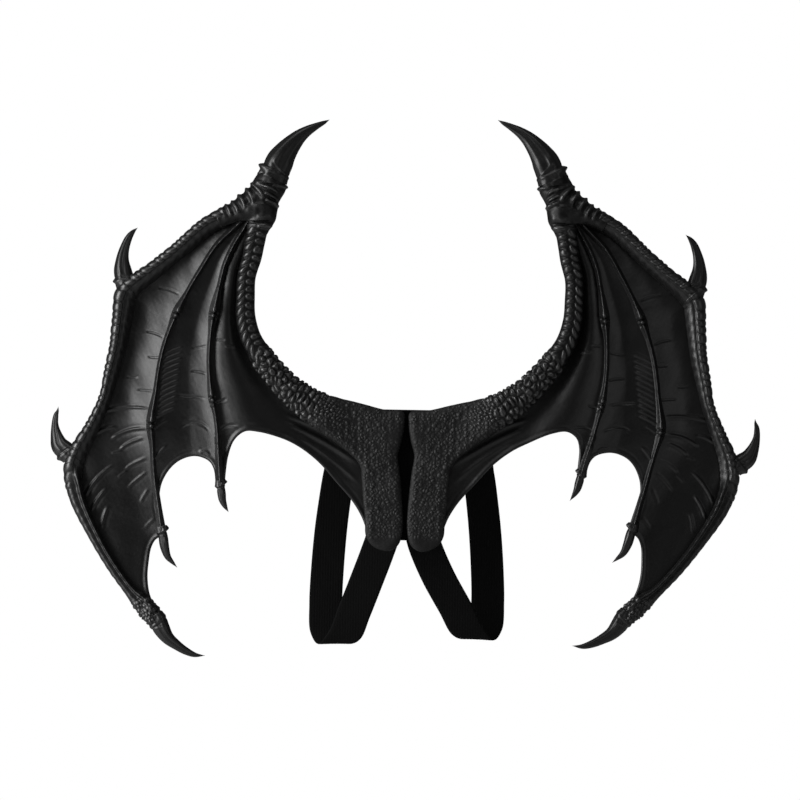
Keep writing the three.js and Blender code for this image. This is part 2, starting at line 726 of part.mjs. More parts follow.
function makeWing(wing) {
  const group = new THREE.Group();
  const build = (form, grow = 0) => solidOnWing(wing, form(grow));
  const hollow = (form) => build(form, GAP);
  const add = (name, solid, finish) => group.add(namedMesh(name + "_" + wing.name, solid, finish));

  const stubs = [FORMS.thumbStub, FORMS.shoulderStub, FORMS.fingerStub, FORMS.armStub];
  const joined = (grow) => stubs.map((stub) => build(stub, grow)).reduce((all, one) => all.add(one));
  const wristHollow = joined(GAP);
  add("wrist", joined(0), scales);

  const { wrist, firstElbow, secondElbow, tip } = FINGER_ROW;
  const fingers = [
    { name: "finger_upper", form: FORMS.finger(wrist, firstElbow) },
    { name: "finger_middle", form: FORMS.finger(firstElbow, secondElbow) },
    { name: "finger_lower", form: FORMS.finger(secondElbow, tip) },
  ];
  fingers.forEach(({ name, form }) => add(name, minus(build(form), [wristHollow]), scales));
  add("arm", minus(build(FORMS.arm), [wristHollow]), scales);
  const boneHollows = [wristHollow, ...fingers.map(({ form }) => hollow(form)), hollow(FORMS.arm)];

  const clawForms = [
    { name: "thumb_claw", form: FORMS.claw(THUMB_CLAW, THUMB_CLAW_RADIUS) },
    { name: "spike_upper", form: FORMS.claw(SPIKE_UPPER, SPIKE_RADIUS) },
    { name: "spike_lower", form: FORMS.claw(SPIKE_LOWER, SPIKE_RADIUS) },
    { name: "tip_claw", form: FORMS.claw(TIP_CLAW, TIP_CLAW_RADIUS) },
  ];
  clawForms.forEach(({ name, form }) => add(name, minus(build(form), boneHollows), horn));

  const ribForms = [
    { name: "rib_outer", form: FORMS.rib(RIB_OUTER) },
    { name: "rib_inner", form: FORMS.rib(RIB_INNER) },
  ];
  const clawHollows = clawForms.map(({ form }) => hollow(form));
  ribForms.forEach(({ name, form }) => add(name, minus(build(form), boneHollows), scales));
  const ribHollows = ribForms.map(({ form }) => hollow(form));

  const ribClawForms = [
    { name: "rib_claw_outer", form: FORMS.ribClaw(RIB_CLAW_OUTER) },
    { name: "rib_claw_inner", form: FORMS.ribClaw(RIB_CLAW_INNER) },
  ];
  ribClawForms.forEach(({ name, form }) => add(name, minus(build(form), ribHollows), horn));
  const ribClawHollows = ribClawForms.map(({ form }) => hollow(form));

  add("root_lobe", minus(build(FORMS.lobe), [hollow(FORMS.arm)]), pad);

  const outline = membraneOutline();
  const prism = solidOnWing(wing, slabOf(outline, -HALF_SPAN / 2, HALF_SPAN, 0));
  const sheet = solidOnWing(wing, bellySheet(outline)).intersect(prism);
  const cutters = [...boneHollows, ...clawHollows, ...ribHollows, ...ribClawHollows, hollow(FORMS.lobe)];
  add("membrane", minus(sheet, cutters), foam);

  add("strap", solidOnWing(wing, strapLoop(wing)), elastic);
  return group;
}

const product = new THREE.Group();
const panelSolid = solidOnWing({ sign: 1, swing: 0, rise: 0 }, slabOf(panelOutline(), 0, PANEL_THICKNESS, 0));
product.add(namedMesh("back_panel", panelSolid, fabric));
WINGS.forEach((wing) => product.add(makeWing(wing)));

export default product;
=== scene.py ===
"""Bat wings to wear on the back, dressed: foam skin, scales, claws, pebbled pads, cloth and elastic.

Metres, +Z up. The wearer's back is at Y = 0, the embossed fronts of the wings face -Y, and the
wearer's left wing is at -X.
"""
import math

import bmesh
import bpy
import numpy as np
from mathutils import Matrix, geometry


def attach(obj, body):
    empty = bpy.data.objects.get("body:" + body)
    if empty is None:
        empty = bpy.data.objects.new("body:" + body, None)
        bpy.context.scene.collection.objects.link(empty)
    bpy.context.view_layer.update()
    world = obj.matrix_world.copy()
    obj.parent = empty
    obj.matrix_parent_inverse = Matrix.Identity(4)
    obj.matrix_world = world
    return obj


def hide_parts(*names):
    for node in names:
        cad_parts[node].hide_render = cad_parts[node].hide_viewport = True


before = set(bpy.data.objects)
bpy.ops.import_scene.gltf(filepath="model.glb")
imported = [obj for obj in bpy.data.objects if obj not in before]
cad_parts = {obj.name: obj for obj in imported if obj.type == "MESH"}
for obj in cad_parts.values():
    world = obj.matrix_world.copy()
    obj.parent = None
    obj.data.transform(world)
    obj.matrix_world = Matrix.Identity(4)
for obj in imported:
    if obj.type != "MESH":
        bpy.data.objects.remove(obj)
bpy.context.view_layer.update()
MM = 0.001

# Sizes of the wings, as in the solids.
HALF_SPAN = 425 * MM
HEIGHT = 646 * MM
WRAP = 45 * MM
FLAT_ROOT = 0.28
GAP = 0.3 * MM
FINGER_RADIUS = 12 * MM
ARM_RADIUS = 12 * MM
WRIST_RADIUS = 18 * MM
RIB_RADIUS = 3.6 * MM
THUMB_CLAW_RADIUS = 17 * MM
SPIKE_RADIUS = 11 * MM
TIP_CLAW_RADIUS = 10 * MM
RIB_CLAW_RADIUS = 6.5 * MM
MEMBRANE_WALL = 3 * MM
LOBE_THICKNESS = 12 * MM
PANEL_THICKNESS = 4 * MM
PANEL_HALF_WIDTH = 50 * MM
PANEL_HALF_FOOT = 36 * MM
PANEL_TOP = 82 * MM
PANEL_BOTTOM = 75 * MM
PANEL_CORNER = 8 * MM
STRAP_WIDTH = 40 * MM
STRAP_THICKNESS = 1.6 * MM
STRAP_REACH = 54 * MM
BONE_SEAT = 14 * MM
RIB_RISE = 1 * MM
# The limp lower part of a wing turns about a place (out, up). The turn grows with the height from start
# to full and with the span from inner to outer. From start to stiff a wing is raised instead.
LIMP = {"out": 0.937, "up": 0.052, "start": 0.14, "full": 0.0, "inner": 0.33, "outer": 0.5, "stiff": 0.5}
SAG = {"low": 67 * MM, "high": 41 * MM}  # how far a turn of one radian also moves its low and high parts
# The swing is a turn in radians. The drop, lean and sway are those of its loop, as shares.
WINGS = (
    dict(name="left", sign=-1, swing=0.055, rise=1.4 * MM, drop=1.0, lean=0.002, sway=0.0),
    dict(name="right", sign=1, swing=-0.055, rise=4.4 * MM, drop=0.94, lean=-0.0095, sway=0.019),
)

# Places are shares of HALF_SPAN (out) and HEIGHT (up), and sizes are shares of the radius.
# FINGER, ARM, THUMB and SHOULDER rows are (out, up, wide, deep).
FINGER = (
    (0.432, 0.492, 1.3, 1.5),
    (0.469, 0.49, 1.2, 1.3),
    (0.505, 0.485, 1.05, 1.1),
    (0.542, 0.474, 0.95, 0.95),
    (0.584, 0.458, 0.9, 0.9),
    (0.663, 0.412, 0.85, 0.85),
    (0.731, 0.375, 0.9, 0.9),
    (0.779, 0.351, 1.0, 1.0),
    (0.805, 0.331, 1.1, 1.0),
    (0.813, 0.294, 1.0, 1.0),
    (0.823, 0.238, 0.85, 0.9),
    (0.841, 0.182, 0.75, 0.8),
    (0.855, 0.141, 0.65, 0.75),
    (0.887, 0.089, 0.75, 0.8),
    (0.92, 0.043, 0.9, 0.9),
    (0.932, 0.004, 0.95, 0.9),
    (0.915, -0.045, 0.8, 0.8),
    (0.857, -0.115, 0.6, 0.65),
    (0.798, -0.171, 0.55, 0.6),
    (0.74, -0.215, 0.6, 0.65),
    (0.711, -0.232, 0.9, 0.8),
    (0.683, -0.249, 1.0, 0.9),
    (0.663, -0.266, 0.8, 0.8),
)
FINGER_ROW = {"membrane": 2, "wrist": 2.6, "first_elbow": 7.6, "second_elbow": 14.6, "tip": 22}
ARM = (
    (0.426, 0.503, 1.7, 1.6),
    (0.426, 0.479, 1.5, 1.4),
    (0.436, 0.455, 1.15, 1.15),
    (0.443, 0.431, 1.1, 1.05),
    (0.449, 0.405, 1.05, 1.0),
    (0.463, 0.368, 1.0, 1.0),
    (0.464, 0.331, 1.0, 1.0),
    (0.462, 0.294, 1.05, 1.0),
    (0.446, 0.256, 1.1, 1.0),
    (0.415, 0.223, 1.15, 1.0),
    (0.381, 0.195, 1.2, 1.0),
    (0.342, 0.167, 1.3, 0.95),
    (0.296, 0.143, 1.5, 0.9),
    (0.251, 0.125, 1.7, 0.87),
    (0.212, 0.112, 1.65, 0.6),
    (0.175, 0.1, 1.4, 0.2),
)
ARM_ROW = {"wrist": 1.6, "membrane": 13, "root": 15}
THUMB = (
    (0.436, 0.49, 1.1, 1.0),
    (0.421, 0.517, 1.12, 0.93),
    (0.401, 0.54, 1.1, 0.93),
    (0.388, 0.557, 1.05, 0.9),
)
SHOULDER = (
    (0.428, 0.523, 0.8, 0.8),
    (0.464, 0.503, 0.8, 0.75),
    (0.498, 0.489, 0.65, 0.65),
)

# Rib and claw rows are (out, up, wide).
RIB_OUTER = (
    (0.463, 0.483, 1.1),
    (0.505, 0.455, 1.1),
    (0.551, 0.424, 1.0),
    (0.599, 0.373, 0.95),
    (0.632, 0.334, 0.95),
    (0.656, 0.3, 1.7),
    (0.675, 0.269, 1.0),
    (0.692, 0.234, 0.9),
    (0.703, 0.197, 0.9),
    (0.711, 0.154, 0.95),
    (0.721, 0.097, 1.7),
    (0.711, 0.052, 1.0),
    (0.697, -0.004, 1.0),
    (0.68, -0.056, 1.1),
    (0.666, -0.1, 1.5),
)
RIB_INNER = (
    (0.455, 0.479, 1.0),
    (0.477, 0.453, 1.0),
    (0.503, 0.424, 0.95),
    (0.525, 0.39, 0.9),
    (0.539, 0.349, 0.95),
    (0.552, 0.301, 1.7),
    (0.559, 0.266, 0.95),
    (0.562, 0.219, 0.85),
    (0.559, 0.182, 0.9),
    (0.551, 0.145, 1.3),
    (0.539, 0.108, 1.0),
    (0.528, 0.067, 1.1),
    (0.517, 0.026, 1.25),
    (0.508, -0.006, 1.4),
)
RIB_KNOBS = {"outer": (5, 10), "inner": (5, 9)}  # rows of the two ribs
THUMB_CLAW = (
    (0.394, 0.545, 1.0),
    (0.386, 0.566, 0.99),
    (0.374, 0.585, 0.97),
    (0.36, 0.6, 0.83),
    (0.342, 0.615, 0.67),
    (0.323, 0.628, 0.51),
    (0.301, 0.639, 0.37),
    (0.274, 0.649, 0.24),
    (0.252, 0.656, 0.13),
    (0.238, 0.661, 0),
)
SPIKE_UPPER = (
    (0.802, 0.346, 1.05),
    (0.815, 0.375, 0.98),
    (0.817, 0.396, 0.73),
    (0.812, 0.416, 0.55),
    (0.8, 0.437, 0.39),
    (0.788, 0.448, 0.22),
    (0.776, 0.455, 0),
)
SPIKE_LOWER = (
    (0.943, 0.032, 1.05),
    (0.975, 0.047, 0.98),
    (0.988, 0.064, 0.7),
    (0.996, 0.086, 0.41),
    (0.995, 0.105, 0.28),
    (0.991, 0.113, 0.15),
    (0.989, 0.121, 0),
)
TIP_CLAW = (
    (0.669, -0.253, 1.0),
    (0.658, -0.264, 1.08),
    (0.647, -0.277, 1.02),
    (0.627, -0.294, 0.8),
    (0.601, -0.306, 0.62),
    (0.573, -0.316, 0.46),
    (0.546, -0.322, 0.28),
    (0.518, -0.322, 0),
)
RIB_CLAW_OUTER = (
    (0.669, -0.088, 0.9),
    (0.661, -0.108, 1.1),
    (0.655, -0.126, 1.07),
    (0.644, -0.144, 0.8),
    (0.628, -0.155, 0.4),
    (0.615, -0.163, 0),
)
RIB_CLAW_INNER = (
    (0.511, 0.006, 0.8),
    (0.508, -0.006, 0.92),
    (0.504, -0.019, 0.98),
    (0.5, -0.031, 0.85),
    (0.492, -0.042, 0.55),
    (0.481, -0.053, 0),
)

# Outlines, as (out, up): the membrane's free edge in three scallops, its edge in the root pad, the pad.
SCALLOP_OUTER = (
    (0.663, -0.256),
    (0.672, -0.238),
    (0.689, -0.212),
    (0.697, -0.184),
    (0.697, -0.156),
    (0.693, -0.13),
    (0.683, -0.115),
    (0.672, -0.109),
)
SCALLOP_MIDDLE = (
    (0.65, -0.102),
    (0.661, -0.087),
    (0.675, -0.059),
    (0.68, -0.033),
    (0.675, -0.006),
    (0.655, 0.02),
    (0.63, 0.035),
    (0.596, 0.043),
    (0.57, 0.042),
    (0.545, 0.035),
    (0.531, 0.022),
    (0.522, -0.006),
)
SCALLOP_INNER = (
    (0.496, -0.006),
    (0.497, 0.02),
    (0.495, 0.048),
    (0.483, 0.072),
    (0.455, 0.086),
    (0.415, 0.084),
    (0.359, 0.072),
    (0.302, 0.054),
    (0.246, 0.026),
    (0.195, -0.011),
    (0.152, -0.043),
    (0.124, -0.072),
    (0.107, -0.1),
)
ROOT_LINE = ((0.251, 0.126), (0.175, 0.085), (0.099, 0.03), (0.088, -0.041), (0.082, -0.105))
LOBE = (
    (0.23, 0.149),
    (0.175, 0.144),
    (0.121, 0.136),
    (0.066, 0.127),
    (0.009, 0.122),
    (0.006, 0.097),
    (0.013, 0.067),
    (0.023, 0.042),
    (0.016, 0.008),
    (0.009, -0.038),
    (0.006, -0.097),
    (0.017, -0.124),
    (0.042, -0.136),
    (0.071, -0.134),
    (0.096, -0.124),
    (0.11, -0.108),
    (0.113, -0.078),
    (0.119, -0.041),
    (0.124, -0.004),
    (0.13, 0.022),
    (0.155, 0.041),
    (0.195, 0.061),
    (0.237, 0.08),
    (0.272, 0.1),
)

# A shoulder loop, as (out, up, tilt in degrees, share of STRAP_REACH behind the wing).
STRAP = (
    (0.045, 0.09, 62, 0),
    (0.085, 0.093, 62, 0.04),
    (0.14, 0.088, 46, 0.38),
    (0.172, 0.064, 22, 0.64),
    (0.187, 0.016, 11, 0.82),
    (0.2, -0.043, 8, 0.94),
    (0.21, -0.1, 6, 1),
    (0.218, -0.175, 4, 1),
    (0.221, -0.238, 2, 0.96),
    (0.216, -0.292, 2, 0.86),
    (0.194, -0.312, 2, 0.7),
    (0.166, -0.297, -10, 0.56),
    (0.138, -0.251, -18, 0.46),
    (0.103, -0.191, -20, 0.33),
    (0.073, -0.137, -20, 0.15),
    (0.06, -0.11, -17, 0.04),
    (0.054, -0.085, -14, 0),
)
CROWN_ROW = 6  # of the loop; a loop drops further than the other only below it
SWAY_START = 0.22  # the shares behind between which a loop goes from its lean to its sway
SWAY_FULL = 0.6

# Ridges and grooves from one place to another, as (out, up, out, up, bow as a share of the length,
# rise as a share of CREASE_DEPTH with grooves below zero, half width in mm).
CREASES = (
    (0.711, 0.344, 0.652, 0.333, -0.06, -1, 1),
    (0.742, 0.263, 0.693, 0.253, -0.06, -1, 1),
    (0.735, 0.217, 0.698, 0.216, 0.04, -0.8, 1),
    (0.794, 0.178, 0.763, 0.179, 0.04, -0.7, 1),
    (0.763, 0.155, 0.71, 0.152, -0.02, -0.7, 1.1),
    (0.85, 0.116, 0.729, 0.121, -0.05, 1.3, 1.3),
    (0.875, 0.074, 0.823, 0.087, -0.08, 1.1, 1.4),
    (0.831, 0.066, 0.733, 0.086, -0.09, 1.5, 1.5),
    (0.804, 0.048, 0.741, 0.069, -0.07, 1.3, 1.4),
    (0.827, 0.039, 0.798, 0.045, -0.03, 0.4, 1.5),
    (0.783, 0.013, 0.726, 0.035, -0.05, 0.9, 1.5),
    (0.802, -0.004, 0.777, 0.01, -0.02, 0.5, 1.5),
    (0.771, -0.021, 0.721, 0.01, -0.03, 0.7, 1.5),
    (0.733, -0.047, 0.712, -0.02, -0.03, 0.4, 1.6),
    (0.89, -0.041, 0.819, 0.018, -0.07, 1.6, 1.5),
    (0.87, -0.068, 0.832, -0.026, -0.05, 1.5, 1.5),
    (0.837, -0.098, 0.823, -0.058, -0.05, 0.9, 2),
    (0.715, -0.094, 0.69, -0.075, -0.03, 0.4, 1.6),
    (0.705, 0.032, 0.671, 0.059, -0.04, 0.9, 1.4),
    (0.711, 0.106, 0.671, 0.121, -0.05, 1, 1.4),
    (0.709, 0.089, 0.674, 0.104, -0.04, 0.5, 1.5),
    (0.635, 0.091, 0.555, 0.086, -0.2, -1.1, 1.3),
    (0.536, 0.081, 0.473, 0.095, -0.16, -1, 1.3),
    (0.579, 0.052, 0.547, 0.047, -0.1, 0.9, 1.4),
    (0.611, 0.234, 0.564, 0.24, 0.03, -0.6, 1.1),
    (0.611, 0.191, 0.566, 0.186, -0.06, -1, 1.1),
    (0.648, 0.146, 0.57, 0.141, -0.02, -0.9, 1.1),
    (0.545, 0.25, 0.516, 0.25, 0, -0.7, 1.1),
    (0.516, 0.238, 0.482, 0.239, 0, 0.5, 1.3),
    (0.542, 0.133, 0.51, 0.141, 0, -0.9, 1.1),
    (0.344, 0.113, 0.173, 0.069, -0.02, 0.7, 2.4),
    (0.335, 0.097, 0.135, 0.025, -0.03, 1, 2.6),
    (0.3, 0.073, 0.134, -0.009, -0.03, 0.8, 2.4),
)
WRIST_FOLDS = (
    (0.443, 0.543, 0.4, 0.527, -0.05, 1.5, 1.9),
    (0.459, 0.541, 0.418, 0.512, -0.08, 2.0, 2.2),
    (0.482, 0.536, 0.447, 0.502, -0.1, 2.1, 2.5),
    (0.504, 0.524, 0.47, 0.493, -0.1, 2.0, 2.4),
    (0.518, 0.511, 0.489, 0.481, -0.08, 1.7, 2.2),
    (0.529, 0.501, 0.509, 0.476, -0.06, 1.5, 1.9),
    (0.414, 0.536, 0.38, 0.523, -0.05, 1.7, 1.5),
    (0.392, 0.538, 0.343, 0.531, -0.04, 1.3, 1.6),
    (0.417, 0.523, 0.38, 0.509, -0.06, 1.9, 1.6),
    (0.414, 0.51, 0.376, 0.496, -0.06, 2.1, 1.7),
    (0.437, 0.541, 0.358, 0.54, 0.05, -1.2, 1.2),
    (0.438, 0.478, 0.39, 0.479, -0.03, 0.8, 3.2),
    (0.48, 0.467, 0.393, 0.469, 0, -1.4, 1.3),
    (0.435, 0.46, 0.392, 0.462, -0.03, 1.6, 2.2),
)
# The fan of short folds inside the outer rib: the first one's place and its step to the next.
FAN_FOLDS = 12
FAN_FIRST = (0.688, 0.222, 0.637, 0.236)
FAN_STEP = (0.0016, -0.0105, 0.0018, -0.0102)
FAN_RISE = 1.25
FAN_HALF_WIDTH = 1.1

# Sections across a bone, as (across, front, share of the scale row), round from the outer edge.
FINGER_SECTION = (
    (1.0, -0.1, 0.7),
    (0.98, 0.32, 1),
    (0.87, 0.68, 1),
    (0.65, 0.93, 1),
    (0.36, 1.02, 1),
    (0.1, 0.94, 0.8),
    (-0.05, 0.76, 0),
    (-0.2, 0.72, 0),
    (-0.38, 0.62, 0),
    (-0.62, 0.38, 0),
    (-0.9, 0.0, 0),
    (-1.05, -0.3, 0),
    (-0.7, -0.7, 0),
    (0.0, -0.92, 0),
    (0.7, -0.7, 0.1),
)
TIP_SECTION = (
    (1.0, 0.0, 0.5),
    (0.92, 0.33, 0.8),
    (0.7, 0.6, 0.8),
    (0.4, 0.7, 0.5),
    (0.0, 0.62, 0),
    (-0.3, 0.6, 0),
    (-0.44, 1.02, 0),
    (-0.6, 1.2, 0),
    (-0.74, 0.94, 0),
    (-0.84, 0.3, 0),
    (-1.0, -0.25, 0),
    (-0.7, -0.7, 0),
    (0.0, -0.92, 0),
    (0.7, -0.66, 0),
)
RIB_SECTION = (
    (1.05, -0.5, 0),
    (0.75, 0.05, 0),
    (0.34, 0.75, 0.3),
    (0.08, 1.22, 1),
    (-0.14, 1.18, 1),
    (-0.34, 0.7, 0.3),
    (-0.7, 0.0, 0),
    (-1.05, -0.5, 0),
    (0.0, -0.6, 0),
)
CLAW_SECTION = (
    (1.0, 0.0, 0),
    (0.86, 0.5, 0),
    (0.5, 0.86, 0.6),
    (0.0, 0.92, 0),
    (-0.48, 0.92, 1),
    (-0.84, 0.5, 0),
    (-1.0, 0.0, 0),
    (-0.7, -0.6, 0),
    (0.0, -0.85, 0),
    (0.7, -0.6, 0),
)

SAMPLES = 24  # of a line, for each row of its table
TABLE = 64  # cells of the jitter table, each way


def smooth(start, end, value):
    t = np.clip((value - start) / (end - start), 0.0, 1.0)
    return t * t * (3.0 - 2.0 * t)


def hill(value, middle, width):
    return np.exp(-(((value - middle) / width) ** 2))


def on_wing(wing, points):
    """The places on the finished wing of points drawn flat, as out, forward and up."""
    out, forward, up = np.asarray(points, float).T
    low = smooth(LIMP["start"], LIMP["full"], up / HEIGHT)
    far = smooth(LIMP["inner"], LIMP["outer"], out / HALF_SPAN)
    turn = wing["swing"] * low * far
    pivot_out, pivot_up = LIMP["out"] * HALF_SPAN, LIMP["up"] * HEIGHT
    cos, sin = np.cos(turn), np.sin(turn)
    swung_out = pivot_out + (out - pivot_out) * cos - (up - pivot_up) * sin
    swung_up = pivot_up + (out - pivot_out) * sin + (up - pivot_up) * cos
    high = smooth(LIMP["start"], LIMP["stiff"], up / HEIGHT)
    swung_out += wing["swing"] * (SAG["low"] * low * far - SAG["high"] * high)
    swung_up += wing["rise"] * high
    past_root = np.maximum(0.0, swung_out / HALF_SPAN - FLAT_ROOT) / (1.0 - FLAT_ROOT)
    return np.column_stack((wing["sign"] * swung_out, WRAP * past_root**2 - forward, swung_up))


def spline(rows, closed=False):
    """A centripetal Catmull-Rom line through the rows, with every column carried along."""
    rows = np.asarray(rows, float)
    if closed:
        rows = np.vstack((rows[-1], rows, rows[:2]))
    else:
        rows = np.vstack((2 * rows[0] - rows[1], rows, 2 * rows[-1] - rows[-2]))
    place = rows[:, :2] * (1.0, HEIGHT / HALF_SPAN)
    knots = np.maximum(np.linalg.norm(np.diff(place, axis=0), axis=1), 1e-9) ** 0.5
    t = np.arange(SAMPLES)[:, None] / SAMPLES
    parts = []
    for i in range(1, len(rows) - 2):
        a, b, c, d = rows[i - 1 : i + 3]
        before, here, after = knots[i - 1 : i + 2]
        leave = ((b - a) / before - (c - a) / (before + here) + (c - b) / here) * here
        arrive = ((c - b) / here - (d - b) / (here + after) + (d - c) / after) * here
        cubic = 2 * b - 2 * c + leave + arrive
        square = -3 * b + 3 * c - 2 * leave - arrive
        parts.append(b + leave * t + square * t**2 + cubic * t**3)
    if not closed:
        parts.append(rows[-2:-1])
    return np.vstack(parts)


def run_of(places):
    """The distance along a line at each of its places."""
    steps = np.linalg.norm(np.diff(places, axis=0), axis=1)
    return np.concatenate(([0.0], np.cumsum(steps)))


def resample(line, places, count):
    """count rows of a line, evenly apart."""
    run = run_of(places)
    even = np.linspace(0.0, run[-1], count)
    return np.column_stack([np.interp(even, run, column) for column in line.T]), even


def flat_places(rows):
    return np.asarray(rows, float)[:, :2] * (HALF_SPAN, HEIGHT)


def section_points(rows, sides):
    """A smooth closed section with even sides, and the outward direction at each corner."""
    rows = np.asarray(rows, float)
    ring = np.vstack((rows[-1], rows, rows[:2]))
    t = np.arange(SAMPLES)[:, None] / SAMPLES
    parts = []
    for i in range(1, len(ring) - 2):
        a, b, c, d = ring[i - 1 : i + 3]
        slope, curve, twist = c - a, 2 * a - 5 * b + 4 * c - d, 3 * b - a - 3 * c + d
        parts.append(b + 0.5 * (slope * t + curve * t**2 + twist * t**3))
    line = np.vstack(parts + [ring[1:2]])
    even, _ = resample(line, line[:, :2], sides + 1)
    even = even[:-1]
    along = np.roll(even[:, :2], -1, axis=0) - np.roll(even[:, :2], 1, axis=0)
    along /= np.linalg.norm(along, axis=1)[:, None]
    return np.column_stack((even, along[:, 1], -along[:, 0]))


def round_section(sides):
    """A round section whose sides lie closer together in front."""
    turn = 2 * np.pi * np.arange(sides) / sides
    angle = turn + 0.4 * np.cos(turn)
    cos, sin = np.cos(angle), np.sin(angle)
    return np.column_stack((cos, sin, np.zeros(sides), cos, sin))


def cells(u, v, seed, jitter=0.75):
    """Distances from each place to the nearest and the second nearest of jittered centres one apart."""
    u, v = np.broadcast_arrays(u, v)
    spread = np.random.default_rng(seed).random((TABLE, TABLE, 2))
    cell_u, cell_v = np.floor(u).astype(int), np.floor(v).astype(int)
    nearest = np.full(np.shape(u), np.inf)
    second = np.full(np.shape(u), np.inf)
    for du in (-1, 0, 1):
        for dv in (-1, 0, 1):
            moved = spread[(cell_u + du) % TABLE, (cell_v + dv) % TABLE]
            centre_u = cell_u + du + 0.5 + jitter * (moved[..., 0] - 0.5)
            centre_v = cell_v + dv + 0.5 + jitter * (moved[..., 1] - 0.5)
            distance = np.hypot(centre_u - u, centre_v - v)
            second = np.minimum(second, np.maximum(nearest, distance))
            nearest = np.minimum(nearest, distance)
    return nearest, second


def pebbles(u, v, size, seed):
    """Rounded pebbles of a size, from 0 in the gaps to 1 on the tops."""
    nearest, second = cells(u / size, v / size, seed, 1.0)
    return smooth(0.0, 0.45, second - nearest) * np.clip(1.15 - nearest**2 * 1.2, 0, 1)


def ripples(u, v, wavelength, seed, waves=7):
    """A soft uneven swell between about -1 and 1."""
    draw = np.random.default_rng(seed)
    total = np.zeros(np.broadcast(u, v).shape)
    for _ in range(waves):
        angle, shift, length = draw.random(3) * (2 * np.pi, 2 * np.pi, 0.8)
        k = 2 * np.pi / (wavelength * (0.6 + length))
        total += np.sin(k * (u * np.cos(angle) + v * np.sin(angle)) + shift)
    return total / waves**0.5 / 1.2


def signed_distance(line, out, up):
    """The distance of flat places from a line, negative on the inner side of it."""
    best = np.full(np.shape(out), np.inf)
    side = np.ones(np.shape(out))
    for a, b in zip(line[:-1], line[1:]):
        du, dv = b - a
        share = np.clip(((out - a[0]) * du + (up - a[1]) * dv) / (du * du + dv * dv), 0, 1)
        off_u, off_v = out - a[0] - share * du, up - a[1] - share * dv
        distance = np.hypot(off_u, off_v)
        closer = distance < best
        best = np.where(closer, distance, best)
        side = np.where(closer, np.where(off_v * du - off_u * dv < 0, -1.0, 1.0), side)
    return best * side


def inside(outline, points):
    """Whether each flat place lies inside a closed outline."""
    within = np.zeros(len(points), bool)
    for a, b in zip(outline, np.roll(outline, -1, axis=0)):
        crosses = (a[1] > points[:, 1]) != (b[1] > points[:, 1])
        with np.errstate(divide="ignore", invalid="ignore"):
            at = a[0] + (points[:, 1] - a[1]) * (b[0] - a[0]) / (b[1] - a[1])
        within ^= crosses & (points[:, 0] < at)
    return within


def outline_of(rows, step, closed=False):
    """An outline through the rows of a table, with a place every step."""
    line = spline(np.asarray(rows, float)[:, :2], closed)
    places = line * (HALF_SPAN, HEIGHT)
    if closed:
        places = np.vstack((places, places[:1]))
    count = max(3, round(run_of(places)[-1] / step) + 1)
    even, _ = resample(places, places, count)
    return even[:-1] if closed else even


MID_STEP = 6  # samples from one place of a middle line to the next
MID_LINES = {
    "finger": flat_places(spline(FINGER)[::MID_STEP]),
    "rib_outer": flat_places(spline(RIB_OUTER)[::MID_STEP]),
    "rib_inner": flat_places(spline(RIB_INNER)[::MID_STEP]),
    "arm": flat_places(spline(ARM[: ARM_ROW["membrane"] + 1])[::MID_STEP]),
    "root": flat_places(ROOT_LINE),
}
# The middle of the membrane lies this far behind the middle of each bone.
SEAT_BEHIND = {
    "finger": 4.5 * MM,
    "rib_outer": 1.5 * MM,
    "rib_inner": 0.5 * MM,
    "arm": 6 * MM,
    "root": 5.5 * MM,
}
TROUGH = 10 * MM  # the most that the two outer panels sink behind their bones
VALLEY = 9 * MM  # how much further back the outer rib lies in the lower part of a wing
VALLEY_START, VALLEY_FULL = 0.1, -0.02  # the shares of the height between which it sinks
TROUGH_SLOPE = 0.17  # depth for each unit of a narrow panel's width
FOLD_RISE = 5.5 * MM  # of the long fold beside the inner rib
RIB_HOLLOW = 3.5 * MM  # of the hollow between that rib and its fold
ARM_HOLLOW = 4 * MM  # of the hollow beside the arm
WIDE_PANEL = 40 * MM  # the width at which its fold and hollows have most of their rise


def membrane_forward(out, up):
    """How far forward the middle of the membrane lies at flat places."""
    away = {name: signed_distance(line, out, up) for name, line in MID_LINES.items()}
    finger, rib_outer, rib_inner = (abs(away[n]) for n in ("finger", "rib_outer", "rib_inner"))
    arm_side = np.minimum(abs(away["arm"]), abs(away["root"]))
    low = smooth(VALLEY_START, VALLEY_FULL, up / HEIGHT)
    outer_seat = SEAT_BEHIND["rib_outer"] + VALLEY * low
    inner_seat = SEAT_BEHIND["rib_inner"]

    def panel(left, right, behind_left, behind_right):
        width = left + right + 1e-6
        share = left / width
        return width, share, behind_left + (behind_right - behind_left) * smooth(0, 1, share)

    def trough(width):
        return TROUGH * (1 - np.exp(-TROUGH_SLOPE * width / TROUGH))

    width, share, behind = panel(finger, rib_outer, SEAT_BEHIND["finger"], outer_seat)
    curve = 1 - np.abs(2 * share ** (0.9 + 1.2 * low) - 1) ** 1.8
    outer = behind + trough(width) * (1 - 0.6 * low) * curve

    width, share, behind = panel(rib_outer, rib_inner, outer_seat, inner_seat)
    middle = behind + trough(width) * (1 - np.abs(2 * share**1.3 - 1) ** 1.5)

    width, share, behind = panel(rib_inner, arm_side, inner_seat, SEAT_BEHIND["arm"])
    wide = 1 - np.exp(-width / WIDE_PANEL)
    fold = FOLD_RISE * hill(share, 0.44, 0.19)
    hollows = ARM_HOLLOW * hill(share, 0.8, 0.2) + RIB_HOLLOW * hill(share, 0.08, 0.11)
    inner = behind + wide * (hollows - fold)

    chosen = np.where(away["rib_outer"] > 0, outer, np.where(away["rib_inner"] > 0, middle, inner))
    return BONE_SEAT - chosen


CREASE_DEPTH = 1.35 * MM  # of a crease whose rise is 1 in its table


